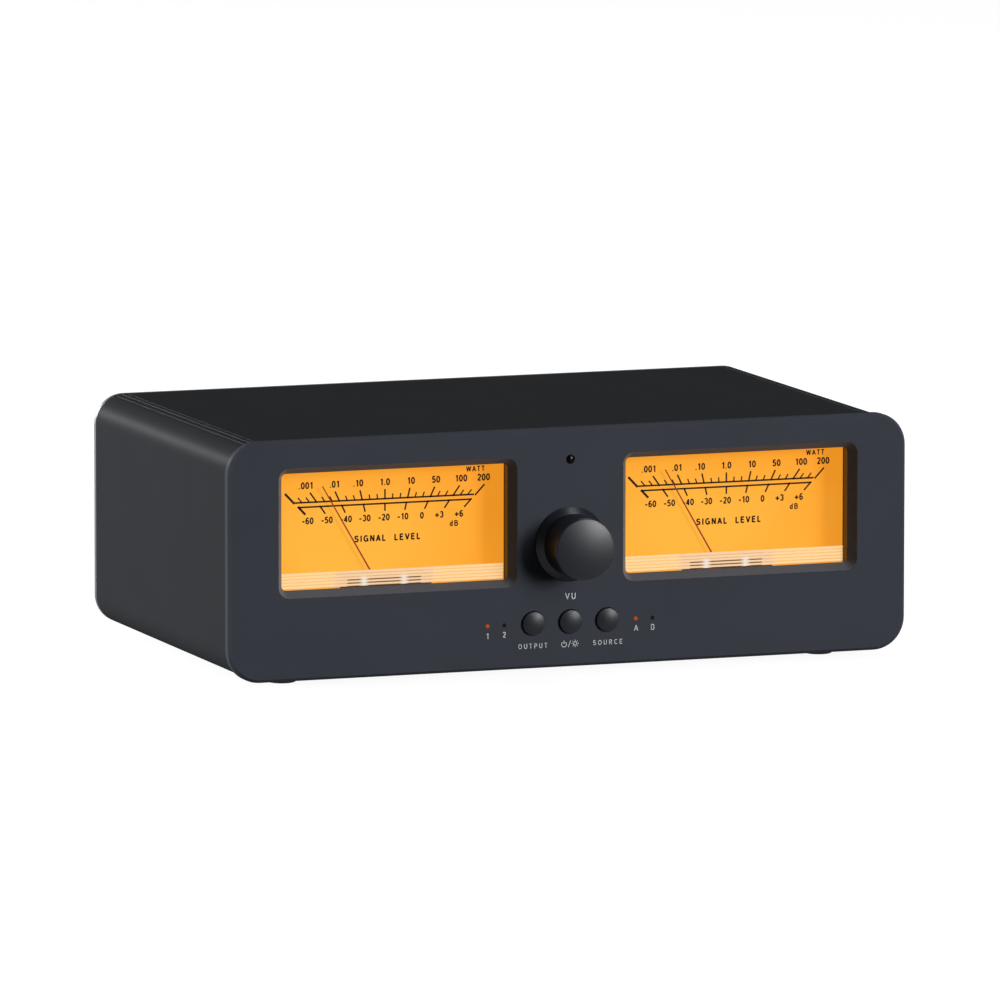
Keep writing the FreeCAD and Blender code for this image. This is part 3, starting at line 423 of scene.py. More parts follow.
def ribbon_pvc():
    """Grey PVC ribbon cable: rounded wires side by side. Colour and relief are a sine across."""
    wire_spacing = 1.27
    material, tree = new_material("ribbon_cable_pvc")
    across = add_node(tree, "SeparateXYZ", {0: place_mm(tree)}).outputs[0]
    wave = add_node(tree, "Math", {0: across, 1: 2 * math.pi / wire_spacing}, operation="MULTIPLY")
    wave = add_node(tree, "Math", {0: wave}, operation="SINE")
    tints = ((0.0, rgba("#7C7D7F")), (0.6, rgba("#A8A9AB")))
    return close_material(material, {
        "Base Color": add_node(tree, "ValToRGB", {"Fac": wave}, stops=tints), "Roughness": 0.5,
        "Normal": add_node(tree, "Bump", {"Height": wave, "Distance": 0.15 * MM})})


# Meshes


def at(x, depth, height):
    """Points in metres from arrays of x, depth and height in millimetres."""
    x, depth, height = np.broadcast_arrays(x, depth, height)
    return np.stack([x, depth + FRONT_Y, height + BASE_Z], -1) * MM


def new_piece(name, vertices, faces, material, body, crease=None):
    """Piece from vertices in metres and faces. With a crease angle in degrees, doubles are merged,
    faces turned outwards and the rest shaded smooth."""
    mesh = bpy.data.meshes.new(name)
    mesh.from_pydata(np.asarray(vertices).tolist(), [], [list(map(int, face)) for face in faces])
    if crease is not None:
        work = bmesh.new()
        work.from_mesh(mesh)
        bmesh.ops.remove_doubles(work, verts=work.verts, dist=1e-7)
        bmesh.ops.dissolve_degenerate(work, edges=work.edges, dist=1e-8)
        bmesh.ops.recalc_face_normals(work, faces=work.faces)
        work.to_mesh(mesh)
        work.free()
        mesh.shade_smooth()
        mesh.set_sharp_from_angle(angle=math.radians(crease))
    mesh.materials.append(material)
    piece = bpy.data.objects.new(name, mesh)
    bpy.context.scene.collection.objects.link(piece)
    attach(piece, body)
    return piece


def grid_faces(rows, columns, wrap_rows=False, wrap_columns=False):
    """Quads between neighbours of a grid of points, closed on itself where it wraps."""
    index = np.arange(rows * columns).reshape(rows, columns)
    if wrap_rows:
        index = np.vstack([index, index[:1]])
    if wrap_columns:
        index = np.hstack([index, index[:, :1]])
    return np.stack([index[:-1, :-1], index[1:, :-1], index[1:, 1:], index[:-1, 1:]], -1).reshape(-1, 4)


def lathe(name, outline, x, height, material, body, steps, crease=32.0):
    """Body of revolution about the depth axis: each outline point (radius, depth) goes round a
    circle of its radius in equal steps."""
    radius, depth = np.asarray(outline, float).T
    turn = np.linspace(0, 2 * np.pi, steps, endpoint=False)[:, None]
    points = at(x + radius * np.cos(turn), depth + 0 * turn, height + radius * np.sin(turn))
    faces = grid_faces(steps, len(radius), wrap_rows=True)
    return new_piece(name, points.reshape(-1, 3), faces, material, body, crease)


def arc(centre_radius, centre_depth, bend, start, end, count=10):
    """Outline points on a circle about (centre_radius, centre_depth), angles in degrees from the
    radial direction towards the back."""
    angle = np.radians(np.linspace(start, end, count))
    return np.stack([centre_radius + bend * np.cos(angle), centre_depth + bend * np.sin(angle)], -1)


def crown(radius, rim, rise, count=24):
    """Outline points of a shallow dome from its rim to the axis, bulging to the front by rise:
    a circle through the rim and the top."""
    ball = (radius ** 2 + rise ** 2) / (2 * rise)
    reach = np.linspace(radius, 0, count)
    return np.stack([reach, rim - rise + ball - np.sqrt(ball ** 2 - reach ** 2)], -1)


# Printing


def bars(starts, ends, width):
    """Vertices and faces of straight printed lines. Each line is a rectangle: its two ends moved
    half the width to each side, square to the line. Starts and ends are arrays of (x, height)."""
    starts, ends = np.asarray(starts, float), np.asarray(ends, float)
    along = ends - starts
    along = along / np.linalg.norm(along, axis=-1, keepdims=True)
    side = np.stack([-along[:, 1], along[:, 0]], -1) * np.reshape(width, (-1, 1)) / 2
    corners = np.stack([starts + side, starts - side, ends - side, ends + side], 1)
    return corners.reshape(-1, 2), np.arange(4 * len(starts)).reshape(-1, 4)


def ring_stroke(x, height, radius, width, start, end, count=28):
    """Vertices and faces of a printed arc between two angles in degrees."""
    angle = np.radians(np.linspace(start, end, count))[:, None]
    reach = radius + width * np.array([[-0.5, 0.5]])
    points = np.stack([x + reach * np.cos(angle), height + reach * np.sin(angle)], -1)
    return points.reshape(-1, 2), grid_faces(count, 2)


def curve(x, height, wide, tall, start, end, count=18):
    """Points on an ellipse about (x, height) between two angles in degrees."""
    angle = np.radians(np.linspace(start, end, count))
    return np.stack([x + wide * np.cos(angle), height + tall * np.sin(angle)], -1)


def line(*points):
    """Path of straight runs between points (x, height)."""
    return np.array(points, float)


def bowl(x, height, reach):
    """Half circle that bulges to the right, with its ends run back to the letter's stem."""
    return np.vstack([line((STEM_X, height + reach)), curve(x, height, reach, reach, 90, -90),
                      line((STEM_X, height - reach))])


STEM_X = 0.11
STEM = line((STEM_X, 0.0), (STEM_X, 1.0))

# Plain engraver's letters: the width of each and the middle lines of its strokes, where a capital
# is one unit high
LETTERS = {
    " ": (0.3, []),
    ".": (0.24, [line((0.12, 0.0), (0.12, 0.14))]),
    "-": (0.46, [line((0.04, 0.4), (0.42, 0.4))]),
    "+": (0.68, [line((0.02, 0.42), (0.66, 0.42)), line((0.34, 0.1), (0.34, 0.74))]),
    "0": (0.58, [curve(0.29, 0.5, 0.21, 0.43, 0, 360, 33)]),
    "1": (0.5, [line((0.33, 0.0), (0.33, 1.0)), line((0.33, 0.9), (0.12, 0.76))]),
    "2": (0.58, [np.vstack([curve(0.29, 0.71, 0.2, 0.22, 165, -35), line((0.09, 0.07))]),
                 line((0.05, 0.07), (0.53, 0.07))]),
    "3": (0.58, [curve(0.28, 0.72, 0.19, 0.21, 160, -80), curve(0.28, 0.29, 0.21, 0.22, 80, -160)]),
    "4": (0.58, [line((0.4, 0.0), (0.4, 1.0)), line((0.38, 0.93), (0.07, 0.27)),
                 line((0.03, 0.27), (0.55, 0.27))]),
    "5": (0.58, [line((0.51, 0.93), (0.13, 0.93)), line((0.15, 0.96), (0.11, 0.5)),
                 curve(0.28, 0.32, 0.22, 0.25, 140, -155)]),
    "6": (0.58, [curve(0.3, 0.31, 0.2, 0.24, 0, 360, 33),
                 np.vstack([curve(0.34, 0.5, 0.25, 0.43, 55, 180), line((0.1, 0.31))])]),
    "A": (0.7, [line((0.04, 0.0), (0.35, 0.97)), line((0.66, 0.0), (0.35, 0.97)),
                line((0.14, 0.31), (0.56, 0.31))]),
    "B": (0.68, [STEM, bowl(0.36, 0.73, 0.2), bowl(0.38, 0.3, 0.23)]),
    "C": (0.72, [curve(0.38, 0.5, 0.29, 0.43, 42, 318, 30)]),
    "E": (0.66, [STEM, line((0.11, 0.93), (0.6, 0.93)), line((0.11, 0.53), (0.55, 0.53)),
                 line((0.11, 0.07), (0.62, 0.07))]),
    "G": (0.78, [curve(0.39, 0.5, 0.31, 0.43, 45, 330, 30), line((0.42, 0.47), (0.73, 0.47)),
                 line((0.68, 0.47), (0.68, 0.04))]),
    "I": (0.28, [line((0.14, 0.0), (0.14, 1.0))]),
    "L": (0.58, [STEM, line((0.11, 0.07), (0.55, 0.07))]),
    "N": (0.74, [STEM, line((0.13, 0.95), (0.61, 0.05)), line((0.63, 0.0), (0.63, 1.0))]),
    "O": (0.8, [curve(0.4, 0.5, 0.32, 0.43, 0, 360, 33)]),
    "P": (0.66, [STEM, bowl(0.37, 0.7, 0.23)]),
    "R": (0.72, [STEM, line((0.4, 0.47), (0.62, 0.0)), bowl(0.38, 0.7, 0.23)]),
    "S": (0.68, [np.vstack([curve(0.34, 0.72, 0.24, 0.21, 20, 250),
                            curve(0.34, 0.29, 0.26, 0.22, 70, -160)])]),
    "T": (0.62, [line((0.31, 0.0), (0.31, 0.95)), line((0.02, 0.93), (0.6, 0.93))]),
    "U": (0.74, [np.vstack([line((0.11, 1.0)), curve(0.37, 0.35, 0.26, 0.28, 180, 360), line((0.63, 1.0))])]),
    "V": (0.68, [line((0.04, 1.0), (0.34, 0.03)), line((0.64, 1.0), (0.34, 0.03))]),
    "W": (0.94, [line((0.04, 1.0), (0.25, 0.03)), line((0.47, 0.97), (0.25, 0.03)),
                 line((0.47, 0.97), (0.69, 0.03)), line((0.9, 1.0), (0.69, 0.03))]),
    "d": (0.58, [curve(0.27, 0.34, 0.19, 0.27, 0, 360, 33), line((0.47, 0.0), (0.47, 1.0))]),
}


def stroke(path, width):
    """Vertices and faces of a printed stroke along a path: every point moves half the width to
    each side, square to the mean direction of its neighbours."""
    along = np.gradient(path, axis=0)
    along = along / np.linalg.norm(along, axis=-1, keepdims=True)
    side = np.stack([-along[:, 1], along[:, 0]], -1) * width / 2
    points = np.stack([path + side, path - side], 1)
    return points.reshape(-1, 2), grid_faces(len(path), 2)


def words(text, x, height, capital, weight=0.13, gap=0.12):
    """Prints of one line of letters centred on (x, height). capital is the height of a capital,
    weight the width of a stroke and gap the space between letters as shares of it."""
    wide = sum(LETTERS[letter][0] for letter in text) + gap * (len(text) - 1)
    start = -wide / 2
    prints = []
    for letter in text:
        advance, paths = LETTERS[letter]
        for path in paths:
            placed = (path + (start, -0.5)) * capital + (x, height)
            prints.append(stroke(placed, weight * capital))
        start += advance + gap
    return prints


def printed(name, prints, depth, material, body):
    """One flat piece from several prints, facing the front at depth. A face whose corners run
    the other way round is turned over, told by the sign of its area."""
    firsts = np.cumsum([0] + [len(points) for points, faces in prints])
    points = np.concatenate([points for points, faces in prints])
    faces = np.concatenate([faces + first for (_, faces), first in zip(prints, firsts)])
    corners = points[faces]
    following = np.roll(corners, -1, axis=1)
    area = np.sum(corners[..., 0] * following[..., 1] - corners[..., 1] * following[..., 0], axis=1)
    faces = np.where(area[:, None] > 0, faces, faces[:, ::-1])
    return new_piece(name, at(points[:, 0], depth, points[:, 1]), faces, material, body)


def dress(material, *nodes):
    """Gives CAD nodes one material."""
    for node in nodes:
        slots = NODES[node].data.materials
        slots.clear()
        slots.append(material)


# Operators


class DressCase(bpy.types.Operator):
    """Front panel, rear panel, feet and screws"""

    bl_idname = "level_meter.case"
    bl_label = "Case"

    def execute(self, context):
        dress(finish("bead_blasted_black_anodising"), "front_panel")
        dress(finish("black_powder_coat"), "rear_panel")
        dress(finish("black_oxide_steel"), "tie_screws", "foot_screws")
        dress(finish("moulded_nitrile_rubber"), "rubber_feet")
        dress(finish("bright_zinc_plate"), "meter_screws", "board_screws", "standoffs", "pot_nut")
        return {"FINISHED"}


class MakeSleeve(bpy.types.Operator):
    """Extruded case tube with three fine grooves along each upper edge"""

    bl_idname = "level_meter.sleeve"
    bl_label = "Case sleeve"

    corner = 11.0
    corner_points = 180
    grooved_run = 5.0
    run_points = 50
    wall = 2.0
    groove_xs = (121.7, 119.5, 117.3)

    def profile(self, half_width, low, high):
        """Outline points and outward normals of the tube's section: quarter circles at the corners
        joined by straight runs, with a point each 0.1 mm round the corners and their grooves."""
        turn = np.linspace(0, np.pi / 2, self.corner_points)
        run = np.linspace(0, self.grooved_run, self.run_points)[1:]
        centre = (half_width - self.corner, (high - low) / 2 - self.corner)
        arc_normals = np.stack([np.cos(turn), np.sin(turn)], -1)
        top_points = np.stack([centre[0] - run, centre[1] + self.corner + 0 * run], -1)
        top_normals = np.broadcast_to([0.0, 1.0], top_points.shape)
        quarter = (np.vstack([centre + self.corner * arc_normals, top_points]),
                   np.vstack([arc_normals, top_normals]))
        flip = np.array([-1.0, 1.0])
        upper = [np.vstack([part, part[::-1] * flip]) for part in quarter]
        points, normals = (np.vstack([part, part[::-1] * -flip]) for part in upper)
        return points + (0, (high + low) / 2), normals

    def execute(self, context):
        low, high = box_mm("case_sleeve")
        half_width = high[0]
        base = low[2] - BASE_Z
        top = high[2] - BASE_Z
        start, end = low[1] - FRONT_Y, high[1] - FRONT_Y
        points, normals = self.profile(half_width, base, top)
        radius = sizes().groove_radius / MM
        dent = np.zeros(len(points))
        corner_x, corner_z = half_width - self.corner, top - self.corner
        for x in self.groove_xs:
            rise = math.sqrt(self.corner ** 2 - max(0.0, x - corner_x) ** 2)
            for side in (-1, 1):
                away = np.linalg.norm(points - (side * x, corner_z + rise), axis=1)
                dent = np.maximum(dent, np.sqrt(np.maximum(0.0, radius ** 2 - away ** 2)))
        outer = points - normals * dent[:, None]
        inner = points - normals * self.wall
        rows = [(outer, start), (outer, end), (inner, end), (inner, start)]
        grid = np.stack([at(loop[:, 0], depth, loop[:, 1]) for loop, depth in rows])
        faces = grid_faces(len(rows), len(points), wrap_rows=True, wrap_columns=True)
        piece = new_piece("sleeve_tube", grid.reshape(-1, 3), faces, finish("extruded_black_anodising"),
                          "case", 40.0)
        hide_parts("case_sleeve")
        return {"FINISHED"}


class DressMeters(bpy.types.Operator):
    """Lenses, housings, dials, needles and movements"""

    bl_idname = "level_meter.meters"
    bl_label = "Meters"

    flute_count = 5
    flute_pitch = 1.15
    flute_radius = 0.56
    flute_flatness = 0.75
    flute_gap = 0.02
    flute_inset = 3.0
    first_flute = 33.0
    plate = 2.0
    # half the width, lower edge, upper edge, radius of the corners
    opening = (45.45, 29.9, 76.9, 4.2)
    taper = 2.4
    # how far the film's two sides stand off the wall, and the depths between which it lies
    film = (0.01, 0.05)
    film_ends = (0.05, PANEL_THICKNESS - 0.02)

    def bezel(self, side, material):
        """Thin skin on the tapered walls of a window opening: a rounded rectangle whose sides
        move in, and whose corner radius shrinks, in proportion to the depth."""
        half, low, high, corner = self.opening
        middle_x = joint_place(side + "_needle_swing")[0]
        turn = np.linspace(0, np.pi / 2, 13)
        quarters = [(half - corner, high - corner, 0), (corner - half, high - corner, 1),
                    (corner - half, low + corner, 2), (half - corner, low + corner, 3)]
        angle = np.concatenate([turn + quarter * np.pi / 2 for x, z, quarter in quarters])
        centre = np.repeat([(x, z) for x, z, quarter in quarters], len(turn), axis=0)
        thin, thick = self.film
        start, end = self.film_ends
        rows = [(start, thin), (start, thick), (end, thick), (end, thin)]
        loops = []
        for depth, lift in rows:
            reach = corner - self.taper * depth / PANEL_THICKNESS - lift
            loops.append(at(middle_x + centre[:, 0] + reach * np.cos(angle), depth,
                            centre[:, 1] + reach * np.sin(angle)))
        faces = grid_faces(len(rows), len(angle), wrap_rows=True, wrap_columns=True)
        piece = new_piece(side + "_bezel", np.concatenate(loops), faces, material, "case", 30.0)

    def lens(self, side, clear, flutes):
        """Clear plate, and flutes on its back: each flute is a flattened half circle carried
        along x."""
        low, high = box_mm(side + "_window")
        front = low[1] - FRONT_Y
        back = front + self.plate
        xs = np.array([low[0], high[0]])
        outline = np.array([[front, low[2]], [back, low[2]], [back, high[2]], [front, high[2]]])
        points = at(xs[:, None], outline[None, :, 0], outline[None, :, 1] - BASE_Z)
        sides = grid_faces(2, 4, wrap_columns=True)
        caps = np.array([[0, 1, 2, 3], [4, 5, 6, 7]])
        plate = new_piece(side + "_lens", points.reshape(-1, 3), np.vstack([sides, caps]), clear,
                          "case", 30.0)
        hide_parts(side + "_window")
        turn = np.linspace(0, np.pi, 17)
        reach = np.array([low[0] + self.flute_inset, high[0] - self.flute_inset])
        for number in range(self.flute_count):
            height = self.first_flute + number * self.flute_pitch
            depth = back + self.flute_gap + self.flute_radius * self.flute_flatness * np.sin(turn)
            rise = height + self.flute_radius * np.cos(turn)
            bead = at(reach[:, None], depth[None], rise[None])
            faces = grid_faces(2, len(turn), wrap_columns=True)
            ends = [list(range(len(turn))), list(range(len(turn), 2 * len(turn)))]
            piece = new_piece(f"{side}_flute_{number + 1}", bead.reshape(-1, 3), faces.tolist() + ends,
                              flutes, "case", 60.0)

    def execute(self, context):
        clear = acrylic()
        tray = finish("moulded_housing_abs")
        # The window walls take the anodising painted paler, for the light they catch
        painted_paler_walls = finish("milled_anodising_painted_paler")
        paint = finish("needle_enamel")
        for side in SIDES:
            dress(tray, side + "_housing")
            # The flutes carry a painted glow, painted glints and a painted reflection of the bridge
            self.lens(side, clear, flutes_with_painted_glow(side, self.first_flute, self.flute_pitch))
            self.bezel(side, painted_paler_walls)
            dress(dial_glow(side), side + "_dial")
            dress(paint, side + "_needle")
        dress(finish("enamelled_copper"), "left_coil", "right_coil")
        dress(finish("phosphor_bronze"), "left_hairspring", "right_hairspring")
        dress(light_guide(), "backlights")
        dress(finish("ground_magnet_alloy"), "magnets")
        dress(finish("nickelled_soft_iron"), "yokes")
        dress(finish("browned_steel"), "front_bridges")
        dress(finish("tumbled_aluminium"), "movement_frames")
        return {"FINISHED"}


class PrintDials(bpy.types.Operator):
    """Scales, numbers and captions on both dials"""

    bl_idname = "level_meter.dials"
    bl_label = "Dial printing"

    upper_line = 62.3
    upper_step = 8.6
    lower_line = 60.6
    lower_step = 8.28
    steps_each_side = 4
    upper_ends = (34.4, 34.0)
    major_top = 65.8
    minor_top = 64.1
    minors = 3
    lower_tip = 57.9
    line_width = 0.62
    tick_width = 0.6
    end_width = 0.85
    minor_width = 0.5
    # x and text
    upper_labels = ((-30.1, ".001"), (-19.2, ".01"), (-10.2, ".10"), (0, "1.0"), (9.95, "10"),
                    (19.5, "50"), (29.1, "100"), (37.7, "200"))
    upper_label_height = 68.4
    lower_labels = ((-29.4, "-60"), (-22.1, "-50"), (-14.8, "-40"), (-7.7, "-30"), (-0.4, "-20"),
                    (6.8, "-10"), (14.1, "0"), (20.7, "+3"), (28.2, "+6"))
    lower_label_height = 55.6
    lower_share = 0.97
    digit_weight = 0.22
    # text, x, height and share of a digit's height
    units = (("WATT", 34.6, 71.6, 0.78), ("dB", 26.3, 52.2, 0.84))
    unit_weight, unit_gap = 0.21, 0.28
    title_place = (0.9, 48.2)
    title_weight, title_gap = 0.25, 0.3

    def ticks(self, xs, line, tip, pivot):
        """Starts and ends of ticks that point at the pivot: a tick leaves the line at x and runs
        along the ray from the pivot until its height is tip."""
        start = np.stack([xs, np.full(len(xs), line)], -1)
        stretch = (tip - pivot) / (line - pivot)
        end = np.stack([xs * stretch, np.full(len(xs), tip)], -1)
        return start, end

    def scale(self, pivot):
        """Prints of both lines and their ticks."""
        left, right = self.upper_ends
        shift = self.line_width / 2
        prints = [bars([[-left, self.upper_line]], [[right, self.upper_line]], self.line_width)]
        half = self.steps_each_side
        majors = np.arange(-half, half + 1) * self.upper_step
        all_steps = np.arange(-half * self.minors, half * self.minors + 1)
        minors = all_steps[all_steps % self.minors != 0] * self.upper_step / self.minors
        widths = np.full(len(majors), self.tick_width)
        widths[0] = self.end_width
        prints.append(bars(*self.ticks(majors, self.upper_line - shift, self.major_top, pivot), widths))
        prints.append(bars(*self.ticks(minors, self.upper_line, self.minor_top, pivot), self.minor_width))
        reach = half * self.lower_step
        prints.append(bars([[-reach, self.lower_line]], [[reach, self.lower_line]], self.line_width))
        lower = np.arange(-half, half + 1) * self.lower_step
        prints.append(bars(*self.ticks(lower, self.lower_line + shift, self.lower_tip, pivot), widths))
        return prints

    def execute(self, context):
        dark = finish("dial_ink")
        digit = sizes().digit_height / MM
        title = sizes().title_height / MM
        for side in SIDES:
            x, pivot = joint_place(side + "_needle_swing")
            prints = self.scale(pivot)
            for across, text in self.upper_labels:
                prints.extend(words(text, across, self.upper_label_height, digit, self.digit_weight))
            for across, text in self.lower_labels:
                prints.extend(words(text, across, self.lower_label_height, digit * self.lower_share,
                                    self.digit_weight))
            for text, across, height, share in self.units:
                prints.extend(words(text, across, height, digit * share, self.unit_weight, self.unit_gap))
            prints.extend(words("SIGNAL  LEVEL", *self.title_place, title, self.title_weight, self.title_gap))
            moved = [(points + (x, 0), faces) for points, faces in prints]
            depth = front_of(side + "_dial") - sizes().ink_lift / MM
            piece = printed(side + "_dial_scale", moved, depth, dark, "case")
        return {"FINISHED"}


class MakeKnob(bpy.types.Operator):
    """Turned knob with a conical skirt, a straight grip and a domed face"""

    bl_idname = "level_meter.knob"
    bl_label = "Knob"

    # radius, length and straight rim
    skirt = (13.5, 2.8, 0.3)
    grip = 11.3
    # radius and depth
    recess = (8.0, 3.0)
    edge = 0.8
    dome = 0.9

    def execute(self, context):
        x, height = joint_place("knob_turn")
        low, high = box_mm("knob")
        back = high[1] - FRONT_Y
        face = low[1] - FRONT_Y + self.dome
        skirt_radius, skirt_length, rim = self.skirt
        recess_radius, recess_depth = self.recess
        outline = np.vstack([
            [(0, back - recess_depth), (recess_radius, back - recess_depth), (recess_radius, back)],
            [(skirt_radius, back), (skirt_radius, back - rim), (self.grip, back - skirt_length)],
            arc(self.grip - self.edge, face + self.edge, self.edge, 0, -90),
            crown(self.grip - self.edge, face, self.dome)[1:],
        ])
        piece = lathe("knob_body", outline, x, height, finish("turned_black_anodising"), "knob", steps=192)
        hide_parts("knob")
        dress(finish("bright_zinc_plate"), "pot_shaft", "potentiometer")
        return {"FINISHED"}


class MakeButtons(bpy.types.Operator):
    """Three round push buttons with domed faces, and their switches"""

    bl_idname = "level_meter.buttons"
    bl_label = "Push buttons"

    radius = 4.3
    # radius, depth of its front and depth of its back
    flange = (5.3, 4.3, 5.3)
    stem_radius = 1.7
    dome = 0.5
    edge = 0.3

    def execute(self, context):
        plastic = finish("lacquered_button_abs")
        flange_radius, flange_front, flange_back = self.flange
        for side in BUTTONS:
            node = "button_" + side
            x, depth, height = middle(node)
            low, high = box_mm(node)
            stem_end = high[1] - FRONT_Y
            rim = low[1] - FRONT_Y + self.dome
            outline = np.vstack([
                [(0, stem_end), (self.stem_radius, stem_end), (self.stem_radius, flange_back)],
                [(flange_radius, flange_back), (flange_radius, flange_front), (self.radius, flange_front)],
                arc(self.radius - self.edge, rim + self.edge, self.edge, 0, -90, 6),
                crown(self.radius - self.edge, rim, self.dome, 12)[1:],
            ])
            piece = lathe(node + "_cap", outline, x, height, plastic, node, steps=96)
            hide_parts(node)
        dress(finish("moulded_housing_abs"), "tact_switches")
        return {"FINISHED"}


class DressIndicators(bpy.types.Operator):
    """Indicator lamps and remote-control sensor"""

    bl_idname = "level_meter.indicators"
    bl_label = "Lamps and sensor"

    def execute(self, context):
        dress(lamp_epoxy(), "indicator_leds")
        dress(finish("infrared_epoxy"), "remote_sensor")
        return {"FINISHED"}


class PrintFront(bpy.types.Operator):
    """Plain lettering and signs on the front panel"""

    bl_idname = "level_meter.lettering"
    bl_label = "Front lettering"

    # x, height and text
    marks = ((-31.75, 12.7, "1"), (-25.35, 12.9, "2"), (25.35, 12.9, "A"), (31.75, 12.9, "B"))
    meter_unit = ("VU", 0.1, 25.7)
    meter_unit_share, meter_unit_gap = 1.1, 0.3
    # text, the button over it and the shift from its middle
    button_words = (("OUTPUT", "button_left", -0.2), ("SOURCE", "button_right", 0.2))
    word_height = 8.25
    word_share, word_gap = 0.84, 0.4
    sign_height = 8.35
    power_x, power_width = -2.4, 0.26
    power_ring, power_stroke, power_gap = 0.95, (0.1, 1.25), (125, 415)
    slash_xs, slash_reach = (-0.75, 0.1), 1.2
    light_x, light_width = 1.9, 0.22
    light_ring, light_rays = 0.62, (0.95, 1.35)

    def signs(self):
        """A power sign, which is a ring open at its top with a stroke through the opening, then a
        slash, then a light sign, which is a small ring with eight rays round it."""
        x, z = self.power_x, self.sign_height
        low, high = z - self.slash_reach, z + self.slash_reach
        angle = np.radians(np.arange(8) * 45)
        rays = np.stack([np.cos(angle), np.sin(angle)], -1)
        centre = np.array([self.light_x, z])
        foot, tip = self.power_stroke
        start, end = self.light_rays
        return [ring_stroke(x, z - foot, self.power_ring, self.power_width, *self.power_gap),
                bars([[x, z + foot]], [[x, z + tip]], self.power_width),
                bars([[self.slash_xs[0], low]], [[self.slash_xs[1], high]], self.light_width),
                ring_stroke(self.light_x, z, self.light_ring, self.light_width, 0, 360),
                bars(centre + rays * start, centre + rays * end, self.light_width)]

    def execute(self, context):
        pale = finish("front_lettering_ink")
        size = sizes().label_height / MM
        prints = [part for x, height, text in self.marks for part in words(text, x, height, size)]
        prints.extend(words(*self.meter_unit, size * self.meter_unit_share, gap=self.meter_unit_gap))
        for text, button, shift in self.button_words:
            x = middle(button)[0] + shift
            prints.extend(words(text, x, self.word_height, size * self.word_share, gap=self.word_gap))
        prints.extend(self.signs())
        piece = printed("front_lettering", prints, -sizes().ink_lift / MM, pale, "case")
        return {"FINISHED"}


class DressElectronics(bpy.types.Operator):
    """Boards, ribbon cable and relays inside the case"""

    bl_idname = "level_meter.electronics"
    bl_label = "Electronics"

    def execute(self, context):
        dress(board_laminate(), "control_board", "main_board")
        dress(ribbon_pvc(), "ribbon_cable")
        dress(finish("moulded_relay_cover"), "relays")
        return {"FINISHED"}


class DressTerminals(bpy.types.Operator):
    """Binding posts and power inlet at the back"""

    bl_idname = "level_meter.terminals"
    bl_label = "Rear terminals"

    def execute(self, context):
        red = finish("moulded_red_polycarbonate")
        black = finish("moulded_black_polycarbonate")
        for node in NODES:
            if node.startswith("cap_"):
                dress(red if node.endswith("red") else black, node)
        dress(black, "post_bases", "dc_inlet")
        dress(finish("gold_flashed_brass"), "post_studs")
        dress(finish("turned_brass"), "post_nuts")
        return {"FINISHED"}


